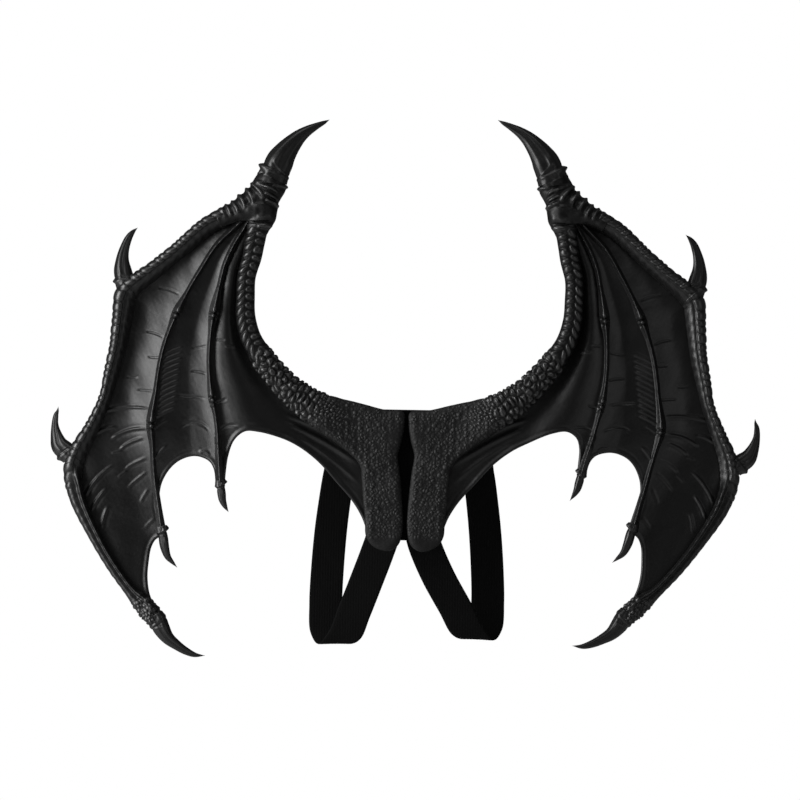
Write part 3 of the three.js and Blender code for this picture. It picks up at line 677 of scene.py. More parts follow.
def folds_relief(table, out, up):
    """The ridges and grooves of a table, embossed at flat places."""
    total = np.zeros(np.shape(out))
    for out_a, up_a, out_b, up_b, bow, rise, half_width in table:
        a = np.array((out_a * HALF_SPAN, up_a * HEIGHT))
        b = np.array((out_b * HALF_SPAN, up_b * HEIGHT))
        length = np.linalg.norm(b - a)
        along = (b - a) / length
        t = ((out - a[0]) * along[0] + (up - a[1]) * along[1]) / length
        aside = (up - a[1]) * along[0] - (out - a[0]) * along[1] - bow * length * 4 * t * (1 - t)
        near = smooth(-0.06, 0.14, t) * smooth(1.06, 0.75, t)
        width = half_width * MM
        beside = hill(aside, -2.0 * width, 1.3 * width) + hill(aside, 2.0 * width, 1.3 * width)
        total += CREASE_DEPTH * rise * near * (hill(aside, 0, width) - 0.22 * beside)
    return total


def crease_relief(out, up):
    fan = tuple(
        (*(start + i * step for start, step in zip(FAN_FIRST, FAN_STEP)), -0.02, FAN_RISE, FAN_HALF_WIDTH)
        for i in range(FAN_FOLDS)
    )
    return folds_relief(CREASES + fan, out, up)


def rib_forward(out, up):
    return membrane_forward(out, up) + MEMBRANE_WALL / 2 + RIB_RISE


def level_seat(out, up):
    return np.full(np.shape(out), BONE_SEAT)


def grid_faces(rings, sides):
    """Faces between rings of corners, with a fan to a point at each end."""
    ring, side = np.meshgrid(np.arange(rings - 1), np.arange(sides), indexing="ij")
    here, along = ring * sides + side, (ring + 1) * sides + side
    turn = (side + 1) % sides
    quads = np.stack((here, along, (ring + 1) * sides + turn, ring * sides + turn), axis=-1)
    first, last = rings * sides, rings * sides + 1
    end = (rings - 1) * sides
    fans = [(first, k, (k + 1) % sides) for k in range(sides)]
    fans += [(last, end + (k + 1) % sides, end + k) for k in range(sides)]
    return quads.reshape(-1, 4).tolist() + fans


THINNEST = 0.25 * MM  # half of a claw's point


def bone(rows, radius, section, step, first=0, last=None, seat=level_seat, relief=None, deep=1.0):
    """A bone, rib or claw along a table's line: its flat points, faces and the height share of each point
    in its relief, which its finish turns into painted shade and highlight and into gloss.
    """
    last = len(rows) - 1 if last is None else last
    line = spline(rows)[round(first * SAMPLES) : round(last * SAMPLES) + 1]
    places = flat_places(line)
    count = max(6, round(run_of(places)[-1] / step) + 1)
    line, run = resample(line, places, count)
    places = flat_places(line)
    along = np.gradient(places, axis=0)
    along /= np.linalg.norm(along, axis=1)[:, None]
    wide = np.maximum(line[:, 2] * radius, THINNEST)
    height = np.maximum(line[:, 3] * radius if line.shape[1] > 3 else wide * deep, THINNEST)
    if callable(section):
        ring = section(run / run[-1])
    else:
        ring = np.broadcast_to(section, (count, *section.shape))
    across, front, row = ring[..., 0], ring[..., 1], ring[..., 2]
    lift = np.zeros(across.shape)
    if relief:
        lift = relief(run[:, None], across, front, row, wide[:, None])
    offset = across * wide[:, None] + ring[..., 3] * lift
    rise = front * height[:, None] + ring[..., 4] * lift
    forward = seat(places[:, 0], places[:, 1])
    points = np.stack(
        (
            places[:, :1] - along[:, 1:] * offset,
            forward[:, None] + rise,
            places[:, 1:] + along[:, :1] * offset,
        ),
        axis=-1,
    )
    ends = [(places[i, 0], forward[i], places[i, 1]) for i in (0, -1)]
    spread = max(np.ptp(lift), 1e-6)
    # Height share of the relief, 0 in the hollows to 1 on the tops: the finish paints the hollows darker
    # as shade and the tops lighter as a highlight.
    painted_light_and_gloss = np.append((lift - lift.min()).ravel() / spread, (0.0, 0.0))
    return np.vstack((points.reshape(-1, 3), ends)), grid_faces(count, across.shape[1]), painted_light_and_gloss


def make_mesh(name, points, faces, painted_light_and_gloss=None):
    mesh = bpy.data.meshes.new(name)
    mesh.from_pydata(np.asarray(points).tolist(), [], faces)
    # The relief's height share, which the finish turns into painted shade and highlight and into gloss.
    if painted_light_and_gloss is not None:
        mesh.attributes.new("painted_light_and_gloss", "FLOAT", "POINT").data.foreach_set("value", painted_light_and_gloss.astype(np.float32))
    built = bmesh.new()
    built.from_mesh(mesh)
    bmesh.ops.recalc_face_normals(built, faces=built.faces)
    if built.calc_volume(signed=True) < 0:
        bmesh.ops.reverse_faces(built, faces=built.faces)
    built.to_mesh(mesh)
    built.free()
    mesh.shade_smooth()
    return mesh


def add_piece(name, mesh, finish, slot, solid):
    """A finished piece of the product, which rides on its one body and stands for a solid."""
    mesh.materials.append(finish)
    piece = bpy.data.objects.new(name, mesh)
    bpy.context.scene.collection.objects.link(piece)
    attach(piece, "root")
    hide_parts(solid)
    return piece


def node(tree, kind, inputs=None, **settings):
    made = tree.nodes.new(kind)
    for key, value in settings.items():
        setattr(made, key, value)
    for socket, value in (inputs or {}).items():
        if isinstance(value, bpy.types.NodeSocket):
            tree.links.new(value, made.inputs[socket])
        else:
            made.inputs[socket].default_value = value
    return made


def grey(value):
    return (value, value, value, 1.0)


def times_plus(tree, value, factor, extra):
    """The value times the factor, plus the extra."""
    inputs = {0: value, 1: factor, 2: extra}
    return node(tree, "ShaderNodeMath", inputs, operation="MULTIPLY_ADD").outputs[0]


def grey_between(tree, share, dark, light):
    inputs = {0: share, 6: grey(dark), 7: grey(light)}
    return node(tree, "ShaderNodeMix", inputs, data_type="RGBA").outputs[2]


def noise(tree, place, scale, detail):
    inputs = {"Vector": place, "Scale": scale, "Detail": detail}
    return node(tree, "ShaderNodeTexNoise", inputs).outputs["Fac"]


def threads(tree, place, scale, direction):
    """The waves of a cloth's threads, one way."""
    inputs = {"Vector": place, "Scale": scale, "Distortion": 0.6, "Detail": 1.0, "Detail Scale": 3.0}
    return node(tree, "ShaderNodeTexWave", inputs, bands_direction=direction).outputs["Fac"]


def start_material(name):
    material = bpy.data.materials.new(name)
    material.use_nodes = True
    tree = material.node_tree
    coordinates = node(tree, "ShaderNodeTexCoord").outputs["Object"]
    return material, tree, tree.nodes["Principled BSDF"], coordinates


def foam(name, greys, rough, polish, gloss, grain, pores):
    """Moulded foam: mottled black, painted lighter on the raised tops as a highlight and darker in the
    hollows as shade, glossier on the tops, with fine grain and shallow pores.

    The greys run from painted shade in the hollows to a painted highlight on the raised tops, and the
    gloss runs the same way; the polish is how much less rough the tops are, and the grain and the pores
    each have a scale and a depth.
    """
    material, tree, shader, place = start_material(name)
    # Relief height from hollow to top: it paints the base colour lighter on the tops as a highlight and
    # darker in the hollows as shade, and sets roughness and gloss.
    painted_light_and_gloss = node(tree, "ShaderNodeAttribute", attribute_name="painted_light_and_gloss").outputs["Fac"]
    mottled = times_plus(tree, noise(tree, place, 26.0, 5.0), 0.55, painted_light_and_gloss)
    share = node(tree, "ShaderNodeMapRange", {"Value": mottled, "From Min": 0.15, "From Max": 1.3})
    tree.links.new(grey_between(tree, share.outputs[0], *greys), shader.inputs["Base Color"])
    uneven = times_plus(tree, noise(tree, place, 420.0, 3.0), 0.16, rough - 0.08)
    tree.links.new(times_plus(tree, painted_light_and_gloss, -polish, uneven), shader.inputs["Roughness"])
    fine = noise(tree, place, grain[0], 4.0)
    grained = node(tree, "ShaderNodeBump", {"Height": fine, "Strength": 0.6, "Distance": grain[1]})
    pits = node(tree, "ShaderNodeTexVoronoi", {"Vector": place, "Scale": pores[0]})
    pitted = node(
        tree,
        "ShaderNodeBump",
        {
            "Height": pits.outputs["Distance"],
            "Strength": 0.6,
            "Distance": pores[1],
            "Normal": grained.outputs[0],
        },
    )
    tree.links.new(pitted.outputs[0], shader.inputs["Normal"])
    dull, shine = gloss
    tree.links.new(times_plus(tree, painted_light_and_gloss, shine - dull, dull), shader.inputs["Specular IOR Level"])
    return material


def cloth(name, greys, rough, gloss, across, along, depth):
    """Woven or knitted cloth, with threads across and along it."""
    material, tree, shader, place = start_material(name)
    crossed = {0: threads(tree, place, across, "X"), 1: threads(tree, place, along, "Z")}
    weave = node(tree, "ShaderNodeMath", crossed, operation="MULTIPLY").outputs[0]
    fuzzy = times_plus(tree, noise(tree, place, 1500.0, 3.0), 0.5, weave)
    tree.links.new(grey_between(tree, fuzzy, *greys), shader.inputs["Base Color"])
    bump = node(tree, "ShaderNodeBump", {"Height": fuzzy, "Strength": 0.8, "Distance": depth})
    tree.links.new(bump.outputs[0], shader.inputs["Normal"])
    shader.inputs["Roughness"].default_value = rough
    shader.inputs["Specular IOR Level"].default_value = gloss
    return material


FOAM_SKIN = foam(
    "foam_skin",
    greys=(0.0015, 0.004),
    rough=0.38,
    polish=0.0,
    gloss=(0.4, 0.4),
    grain=(900.0, 0.1 * MM),
    pores=(260.0, 0.05 * MM),
)
# On the scaled, claw and pebbled finishes the greys run from painted shade in the hollows to a painted
# highlight on the raised tops.
SCALED = foam(
    "scaled_foam",
    greys=(0.0008, 0.009),
    rough=0.43,
    polish=0.1,
    gloss=(0.22, 0.66),
    grain=(1100.0, 0.08 * MM),
    pores=(420.0, 0.06 * MM),
)
CLAWS = foam(
    "claw_foam",
    greys=(0.002, 0.007),
    rough=0.4,
    polish=0.04,
    gloss=(0.38, 0.5),
    grain=(800.0, 0.08 * MM),
    pores=(300.0, 0.05 * MM),
)
PEBBLED = foam(
    "pebbled_foam",
    greys=(0.0015, 0.015),
    rough=0.62,
    polish=0.1,
    gloss=(0.26, 0.38),
    grain=(1300.0, 0.2 * MM),
    pores=(700.0, 0.15 * MM),
)
PANEL_CLOTH = cloth(
    "panel_fabric", (0.0005, 0.002), rough=0.95, gloss=0.08, across=150.0, along=190.0, depth=0.25 * MM
)
ELASTIC = cloth(
    "elastic", (0.0006, 0.0025), rough=0.85, gloss=0.1, across=100.0, along=260.0, depth=0.3 * MM
)

# Scales and folds.
UPPER_SCALE = 8.6 * MM
MIDDLE_SCALE = 9.3 * MM
LOWER_SCALE = 9.0 * MM
ARM_SCALE = 9.6 * MM
# Past its braid the arm's scales change three times, as (start and end of the change from the wrist,
# length and breadth of a scale, height, how deep its gaps lie, seed).
ARM_CHANGES = (
    (150 * MM, 168 * MM, 9.5 * MM, 8.5 * MM, 2.9 * MM, 0.8 * MM, 11),
    (205 * MM, 222 * MM, 7.0 * MM, 12 * MM, 2.8 * MM, 0.8 * MM, 12),
    (245 * MM, 268 * MM, 4.6 * MM, 4.6 * MM, 2.4 * MM, 0.6 * MM, 13),
)
KNUCKLE_START = 42 * MM  # before the end of the finger's bone
KNUCKLE_FULL = 26 * MM
KNUCKLE_RISE = 1.8 * MM
KNUCKLE_PEBBLE = 5.5 * MM
ROUND = round_section(sides=84)


def lumps(phase, aside, gap, square, seed):
    """Rounded scales one after the other, each of its own height, from 0 in the gaps to 1 on top.

    One unit of phase holds one scale, and aside runs from -1 to 1 across the row.
    """
    index = np.floor(phase).astype(int)
    own = 0.7 + 0.45 * np.random.default_rng(seed).random(TABLE)[index % TABLE]
    part = np.abs(2 * (phase - index) - 1) / (1 - gap)
    return own * np.clip(1 - part**square - np.abs(aside) ** square, 0, 1) ** 0.6


def finger_scales(pitch, slant, seed):
    def relief(run, across, front, row, wide):
        uneven = 0.2 * np.sin(run / pitch * 1.7) + 0.15 * np.sin(run / pitch * 0.61 + 2)
        phase = run / pitch + uneven + slant * (1 - across)
        aside = (across - 0.46) / 0.66
        bead = row * (1.8 * MM * lumps(phase, aside, gap=0.06, square=3.4, seed=seed) - 0.9 * MM)
        wrinkle = 0.2 * MM * ripples(run, across * wide, 9 * MM, 3) * (1 - row)
        return bead + wrinkle

    return relief


def arm_scales(run, across, front, row, wide):
    facing = smooth(-0.6, 0.0, front)
    wobble = 0.12 * ripples(run, across * wide, 22 * MM, 14)
    outer = run / ARM_SCALE - 1.0 * across + wobble
    inner = run / (ARM_SCALE * 1.02) + 0.1 * across + wobble
    slashes = 2.6 * MM * lumps(outer, (across - 0.5) / 0.42, gap=0.16, square=2.0, seed=7)
    blocks = 2.0 * MM * lumps(inner + 0.4, (across + 0.5) / 0.46, gap=0.2, square=2.0, seed=8)
    skin = slashes + blocks - 0.8 * MM
    around = np.arctan2(front, across) * wide
    for start, end, long, broad, height, sunk, seed in ARM_CHANGES:
        nearest, second = cells(run / long, around / broad, seed, 0.7)
        scales = smooth(0.0, 0.6, second - nearest) * np.clip(1.15 - nearest**2, 0, 1)
        mix = smooth(start, end, run)
        skin = skin * (1 - mix) + (height * scales - sunk) * mix
    return skin * facing


def claw_relief(lip, lean, rise, thick=0.35, knob=0.0, slim=0.0):
    """A horn with long ridges, and a sheath round its foot whose lip leans to one side.

    The sheath is thicker on the side where its lip ends in a knob, and slim is the share
    by which the horn is narrower than its sheath.
    """

    def relief(run, across, front, row, wide):
        edge = lip + lean * across
        rough = 1 + 0.3 * ripples(run, across * wide, 6 * MM, 77)
        sheath = rise * rough * (1 - smooth(edge, edge + 1.2 * MM, run)) * (1 - thick * across)
        rolled = 0.5 * rise * hill(run, edge - 1.5 * MM, 1.6 * MM)
        rolled += knob * hill(run, edge - 1.8 * MM, 2.6 * MM) * smooth(-0.45, -0.95, across)
        groove = -0.5 * rise * hill(run, edge + 1.8 * MM, 1.1 * MM)
        past = (run - edge) / lip
        ridges = 0.035 * wide * row * smooth(0, 0.5, past)
        nail_side = 0.85 - 1.1 * smooth(0, 0.8, past)
        nail = 0.1 * wide * hill(across, nail_side, 0.12) * smooth(0, 0.15, past) * smooth(2.0, 0.9, past)
        streaks = 0.12 * MM * np.sin(across * 19 + 1.5 * np.sin(run / (9 * MM)))
        horn = ridges + nail - slim * wide * smooth(-0.3, 0.1, past) * abs(across)
        return sheath + rolled + groove + horn + streaks * smooth(0, 6 * MM, wide)

    return relief


def rib_relief(rows, knobs):
    """Each knob of a rib swells, ends at a notch and has a small lump after it."""
    line = spline(rows)
    runs = run_of(flat_places(line))

    def relief(run, across, front, row, wide):
        rough = 0.16 * MM * ripples(run, across * wide, 6 * MM, 21) * (0.3 + row)
        for knob in knobs:
            past = run - runs[knob * SAMPLES]
            rough += 0.8 * MM * hill(past, -3.5 * MM, 3.5 * MM) - 2.0 * MM * hill(past, 1 * MM, 1.1 * MM)
            rough += 0.9 * MM * hill(past, 4.2 * MM, 1.9 * MM) - 1.2 * MM * hill(past, 7.5 * MM, 1.4 * MM)
        return rough * smooth(-0.5, 0.2, front)

    return relief


FINGER_RING = section_points(FINGER_SECTION, sides=60)
TIP_RING = section_points(TIP_SECTION, sides=60)
RIB_RING = section_points(RIB_SECTION, sides=32)
CLAW_RING = section_points(CLAW_SECTION, sides=56)


def lower_finger_section(share):
    """The finger's section turns from its scale row to a sharp ridge, past the second elbow."""
    mix = (smooth(0.02, 0.16, share) * smooth(0.99, 0.86, share))[:, None, None]
    ring = FINGER_RING * (1 - mix) + TIP_RING * mix
    ring[..., 2] *= (1 - smooth(0.12, 0.26, share))[:, None]
    return ring


def lower_finger_relief(run, across, front, row, wide):
    end = run[-1, 0]
    knuckle = smooth(end - KNUCKLE_START, end - KNUCKLE_FULL, run) * smooth(-0.6, 0.0, front)
    ring = pebbles(run, across * wide * 1.4, KNUCKLE_PEBBLE, seed=17)
    scales = finger_scales(LOWER_SCALE, slant=0.3, seed=53)(run, across, front, row, wide)
    return scales + knuckle * KNUCKLE_RISE * (ring - 0.4)


LAP = 0.15  # rows by which the finger's lengths reach past an elbow


def finger_form(section, start, end, relief):
    return bone(FINGER, FINGER_RADIUS, section, 1.1 * MM, start, end, relief=relief)


def arm_form():
    return bone(ARM, ARM_RADIUS, ROUND, 0.75 * MM, ARM_ROW["wrist"], ARM_ROW["root"], relief=arm_scales)


def horn_form(rows, radius, step, relief):
    return bone(rows, radius, CLAW_RING, step, relief=relief, deep=0.85)


def rib_form(rows, knobs):
    return bone(rows, RIB_RADIUS, RIB_RING, 1.0 * MM, seat=rib_forward, relief=rib_relief(rows, knobs))


def rib_claw_form(rows, lip):
    relief = claw_relief(lip, lean=2 * MM, rise=0.9 * MM, knob=1.2 * MM, slim=0.22)
    return bone(rows, RIB_CLAW_RADIUS, CLAW_RING, 0.8 * MM, seat=rib_forward, relief=relief, deep=0.9)


def bone_forms():
    """Every bone, rib and claw of one wing, drawn flat."""
    wrist, tip = FINGER_ROW["wrist"], FINGER_ROW["tip"]
    first, second = FINGER_ROW["first_elbow"], FINGER_ROW["second_elbow"]
    upper_scales = finger_scales(UPPER_SCALE, slant=0.7, seed=51)
    middle_scales = finger_scales(MIDDLE_SCALE, slant=0.1, seed=52)
    thumb = claw_relief(lip=12 * MM, lean=-3 * MM, rise=1.3 * MM, thick=1.0, knob=2.4 * MM)
    upper = claw_relief(lip=9 * MM, lean=-3 * MM, rise=0.8 * MM, knob=1.8 * MM)
    lower = claw_relief(lip=7 * MM, lean=-3 * MM, rise=0.8 * MM, knob=1.8 * MM)
    tip_relief = claw_relief(lip=11 * MM, lean=3 * MM, rise=0.8 * MM, thick=-0.6)
    return {
        "finger_upper": finger_form(FINGER_RING, wrist, first + LAP, upper_scales),
        "finger_middle": finger_form(FINGER_RING, first - LAP, second + LAP, middle_scales),
        "finger_lower": finger_form(lower_finger_section, second - LAP, tip, lower_finger_relief),
        "arm": arm_form(),
        "thumb_claw": horn_form(THUMB_CLAW, THUMB_CLAW_RADIUS, step=1.1 * MM, relief=thumb),
        "spike_upper": horn_form(SPIKE_UPPER, SPIKE_RADIUS, step=0.9 * MM, relief=upper),
        "spike_lower": horn_form(SPIKE_LOWER, SPIKE_RADIUS, step=0.9 * MM, relief=lower),
        "tip_claw": horn_form(TIP_CLAW, TIP_CLAW_RADIUS, step=0.9 * MM, relief=tip_relief),
        "rib_outer": rib_form(RIB_OUTER, RIB_KNOBS["outer"]),
        "rib_inner": rib_form(RIB_INNER, RIB_KNOBS["inner"]),
        "rib_claw_outer": rib_claw_form(RIB_CLAW_OUTER, lip=8 * MM),
        "rib_claw_inner": rib_claw_form(RIB_CLAW_INNER, lip=7 * MM),
    }


FORM_LOOKS = {
    "finger": (SCALED, "scaled_foam"),
    "arm": (SCALED, "scaled_foam"),
    "thumb": (CLAWS, "claw_foam"),
    "spike": (CLAWS, "claw_foam"),
    "tip": (CLAWS, "claw_foam"),
    "rib": (SCALED, "scaled_foam"),
}


def wrist_form():
    """The stubs of the wrist, melted into one skin and wrapped in folds."""
    stubs = (
        bone(THUMB, WRIST_RADIUS, ROUND, 1 * MM, last=2.6),
        bone(SHOULDER, WRIST_RADIUS, ROUND, 1 * MM),
        bone(FINGER, FINGER_RADIUS, ROUND, 1 * MM, last=3.2),
        bone(ARM, ARM_RADIUS, ROUND, 1 * MM, last=2.2),
    )
    points, faces = [], []
    for stub_points, stub_faces, _ in stubs:
        start = sum(len(part) for part in points)
        points.append(stub_points)
        faces += [[corner + start for corner in face] for face in stub_faces]
    rough = bpy.data.objects.new("rough_wrist", make_mesh("rough_wrist", np.vstack(points), faces))
    bpy.context.scene.collection.objects.link(rough)
    melt = rough.modifiers.new("melt", "REMESH")
    melt.mode = "VOXEL"
    melt.voxel_size = 0.9 * MM
    soften = rough.modifiers.new("soften", "SMOOTH")
    soften.factor = 0.6
    soften.iterations = 12
    settled = rough.evaluated_get(bpy.context.evaluated_depsgraph_get()).to_mesh()
    melted = np.array([vertex.co for vertex in settled.vertices])
    outward = np.array([vertex.normal for vertex in settled.vertices])
    skin = [list(face.vertices) for face in settled.polygons]
    rough.to_mesh_clear()
    bpy.data.objects.remove(rough)
    out, forward, up = melted.T
    lift = folds_relief(WRIST_FOLDS, out, up) * smooth(-8 * MM, 4 * MM, forward - BONE_SEAT)
    lift += 0.3 * MM * ripples(out, up, 12 * MM, 61)
    # The fold tops are painted lighter as a highlight and the hollows darker as shade, through the
    # finish.
    painted_light_and_gloss = np.clip(lift / (2.4 * MM) + 0.1, 0, 1)
    return melted + outward * lift[:, None], skin, painted_light_and_gloss


def sheet_form(outline, step, front_of, back_of, rim):
    """A closed sheet over a flat outline: its front and back meet along the outline's rounded rim."""
    low, high = outline.min(axis=0), outline.max(axis=0)
    rows = np.arange(low[1], high[1], step * 0.87)
    places = []
    for i, up in enumerate(rows):
        out = np.arange(low[0] + (i % 2) * step / 2, high[0], step)
        places.append(np.column_stack((out, np.full(len(out), up))))
    places = np.vstack(places)
    places = places[inside(outline, places)]
    loop = np.vstack((outline, outline[:1]))
    places = places[abs(signed_distance(loop, *places.T)) > rim + 0.6 * step]
    centre_line = np.roll(outline, -1, axis=0) - np.roll(outline, 1, axis=0)
    centre_line /= np.linalg.norm(centre_line, axis=1)[:, None]
    normal = np.column_stack((-centre_line[:, 1], centre_line[:, 0]))
    if not inside(outline, outline[:1] + normal[:1] * 1e-5)[0]:
        normal = -normal
    for share in (0.12, 0.35, 0.65, 1.0):
        ring = outline + normal * rim * share
        ring = ring[inside(outline, ring)]
        clear = abs(signed_distance(loop, *ring.T)) > rim * share * 0.93
        places = np.vstack((places, ring[clear]))
    flat = np.vstack((outline, places))
    edge = [(i, (i + 1) % len(outline)) for i in range(len(outline))]
    cut = geometry.delaunay_2d_cdt([tuple(p) for p in flat], edge, [], 1, 1e-7)
    flat = np.array([tuple(p) for p in cut[0]])
    triangles = np.array([face for face in cut[2] if len(face) == 3])
    from_edge = abs(signed_distance(loop, *flat.T))
    front = np.column_stack((flat[:, 0], front_of(flat, from_edge), flat[:, 1]))
    back = np.column_stack((flat[:, 0], back_of(flat, from_edge), flat[:, 1]))
    on_edge = from_edge < 1e-6
    back_index = np.full(len(flat), -1)
    back_index[~on_edge] = len(flat) + np.arange((~on_edge).sum())
    back_index[on_edge] = np.flatnonzero(on_edge)
    points = np.vstack((front, back[~on_edge]))
    points[: len(flat)][on_edge, 1] = (front[on_edge, 1] + back[on_edge, 1]) / 2
    faces = triangles.tolist() + back_index[triangles[:, ::-1]].tolist()
    return points, faces, len(flat)


def rounded(from_edge, radius, power=2.0):
    """The share of its height that a rounded edge has reached at a distance from the outline."""
    return (1 - (1 - np.clip(from_edge / radius, 0, 1)) ** power) ** (1 / power)


def membrane_form():
    scallops = [outline_of(rows, 2.2 * MM) for rows in (SCALLOP_OUTER, SCALLOP_MIDDLE, SCALLOP_INNER)]
    outline = np.vstack(
        (
            outline_of(FINGER[FINGER_ROW["membrane"] :], 4 * MM),
            *scallops,
            outline_of(ROOT_LINE[::-1], 4 * MM),
            outline_of(ARM[ARM_ROW["membrane"] :: -1], 4 * MM)[1:],
        )
    )
    kept = np.linalg.norm(outline - np.roll(outline, 1, axis=0), axis=1) > 0.4 * MM
    outline = outline[kept]
    wall = MEMBRANE_WALL / 2

    def swell_of(out, up):
        return 0.35 * MM * ripples(out, up, 38 * MM, 8)

    def edge_distance(flat):
        return np.min([abs(signed_distance(line, *flat.T)) for line in scallops], axis=0)

    def front_of(flat, from_edge):
        out, up = flat.T
        free_edge = edge_distance(flat)
        half = wall * rounded(from_edge, 2.2 * MM) + 0.7 * MM * hill(free_edge, 2.4 * MM, 1.7 * MM)
        half -= 0.35 * MM * hill(free_edge, 6.5 * MM, 1.8 * MM)
        swell = swell_of(out, up) + 0.04 * MM * ripples(out, up, 9 * MM, 9)
        middle = membrane_forward(out, up) + swell * rounded(from_edge, 8 * MM)
        return middle + half + crease_relief(out, up)

    def back_of(flat, from_edge):
        out, up = flat.T
        free_edge = edge_distance(flat)
        half = wall * rounded(from_edge, 2.2 * MM) + 0.4 * MM * hill(free_edge, 2.4 * MM, 1.7 * MM)
        return membrane_forward(out, up) - half + swell_of(out, up) * rounded(from_edge, 8 * MM)

    points, faces, _ = sheet_form(outline, 1.35 * MM, front_of, back_of, 3.2 * MM)
    return points, faces, np.zeros(len(points))


def lobe_form():
    outline = outline_of(LOBE, 1.2 * MM, closed=True)
    base = PANEL_THICKNESS + GAP

    def relief(flat):
        out, up = flat.T
        turned_out, turned_up = out * 0.8 + up * 0.6, up * 0.8 - out * 0.6
        fine = smooth(-0.3, 0.3, ripples(out, up, 30 * MM, 33))
        grain = pebbles(turned_out, turned_up, 4.7 * MM, 31) * (1 - fine)
        grain += pebbles(turned_up, turned_out, 3.9 * MM, 32) * fine
        grain *= 0.66 + 0.5 * ripples(out, up, 11 * MM, 34)
        smooth_foot = smooth(-0.102, -0.118, up / HEIGHT)
        patch = hill(out / HALF_SPAN, 0.035, 0.03) * hill(up / HEIGHT, 0.08, 0.024)
        return grain * (1 - 0.9 * smooth_foot) * (1 - 0.75 * patch)

    def front_of(flat, from_edge):
        out, up = flat.T
        share = rounded(from_edge, 10 * MM, 2.2)
        top = base + LOBE_THICKNESS + 6 * MM * smooth(0.13, 0.25, out / HALF_SPAN)
        swell = 0.8 * MM * ripples(out, up, 45 * MM, 12)
        lift = 1.4 * MM * relief(flat) * smooth(0, 2.5 * MM, from_edge)
        return base + 0.5 * LOBE_THICKNESS + (top - base - 0.5 * LOBE_THICKNESS + swell) * share + lift

    def back_of(flat, from_edge):
        return base + 0.5 * LOBE_THICKNESS * (1 - rounded(from_edge, 5 * MM))

    points, faces, front = sheet_form(outline, 0.85 * MM, front_of, back_of, 1.6 * MM)
    painted_light_and_gloss = np.zeros(len(points))
    # The pebble tops are painted lighter as a highlight and the gaps darker as shade, through the finish.
    painted_light_and_gloss[:front] = relief(points[:front, ::2]) * 0.9
    return points, faces, painted_light_and_gloss


def panel_form():
    corner = PANEL_CORNER
    head, foot = PANEL_HALF_WIDTH - corner, PANEL_HALF_FOOT - corner
    top, bottom = PANEL_TOP - corner, corner - PANEL_BOTTOM
    turns = []
    for x, z, start in ((foot, bottom, -90), (head, top, 0), (-head, top, 90), (-foot, bottom, 180)):
        angle = np.radians(start + np.linspace(0, 90, 8))
        turns.append(np.column_stack((x + corner * np.cos(angle), z + corner * np.sin(angle))))
    corners = np.vstack(turns)
    corners = np.vstack((corners, corners[:1]))
    outline, _ = resample(corners, corners, round(run_of(corners)[-1] / (1.5 * MM)) + 1)
    outline = outline[:-1]

    def half(flat, from_edge):
        hem = hill(from_edge, 5.5 * MM, 0.8 * MM) * 0.45 * MM
        return PANEL_THICKNESS / 2 * rounded(from_edge, 2.2 * MM) - hem

    def front_of(flat, from_edge):
        return PANEL_THICKNESS / 2 + half(flat, from_edge)

    def back_of(flat, from_edge):
        return PANEL_THICKNESS / 2 - half(flat, from_edge)

    points, faces, _ = sheet_form(outline, 1.8 * MM, front_of, back_of, 2.4 * MM)
    return points, faces, None


LANES = 27  # points across the webbing


def strap_form(wing):
    """The webbing of one loop, and the length that it was cut to."""
    crown = STRAP[CROWN_ROW][1]
    hung = []
    for out, up, tilt, behind in STRAP:
        below = min(0.0, up - crown)
        swayed = smooth(SWAY_START, SWAY_FULL, behind)
        aside = wing["lean"] + (wing["sway"] - wing["lean"]) * swayed
        hung.append((out + aside, up + below * (wing["drop"] - 1), tilt, behind))
    line = spline(hung)
    middle = np.column_stack(
        (
            line[:, 0] * HALF_SPAN,
            -GAP - STRAP_THICKNESS / 2 - line[:, 3] * STRAP_REACH,
            line[:, 1] * HEIGHT,
        )
    )
    length = run_of(middle)[-1]
    count = round(length / (2 * MM))
    line, _ = resample(line, middle, count)
    middle, run = resample(middle, middle, count)
    tilt = np.radians(line[:, 2])
    across = np.column_stack((np.cos(tilt), np.zeros(count), -np.sin(tilt)))
    along = np.gradient(middle, axis=0)
    through = np.cross(along, across)
    through /= np.linalg.norm(through, axis=1)[:, None]
    lanes = np.linspace(-1, 1, LANES)
    face = np.concatenate((lanes, lanes[-2:0:-1]))
    side = np.concatenate((np.ones(LANES), -np.ones(LANES - 2)))
    side[0] = side[LANES - 1] = 0.0
    edge = np.clip(1 - np.abs(face) ** 14, 0.3, 1) * np.where(np.abs(face) > 0.99, 0.6, 1)
    ribs = 1 + 0.16 * np.cos(face * np.pi * 11) * (np.abs(face) < 0.96)
    curl = 0.7 * MM * ripples(run, run * 0.3, 90 * MM, 41)
    thick = STRAP_THICKNESS / 2 * edge * ribs * side
    points = (
        middle[:, None]
        + across[:, None] * (face * STRAP_WIDTH / 2)[None, :, None]
        + through[:, None] * (thick[None, :] + curl[:, None] * face[None, :] ** 2 * 0.6)[..., None]
    )
    points = np.vstack((points.reshape(-1, 3), middle[:1], middle[-1:]))
    return points, grid_faces(count, len(face)), length


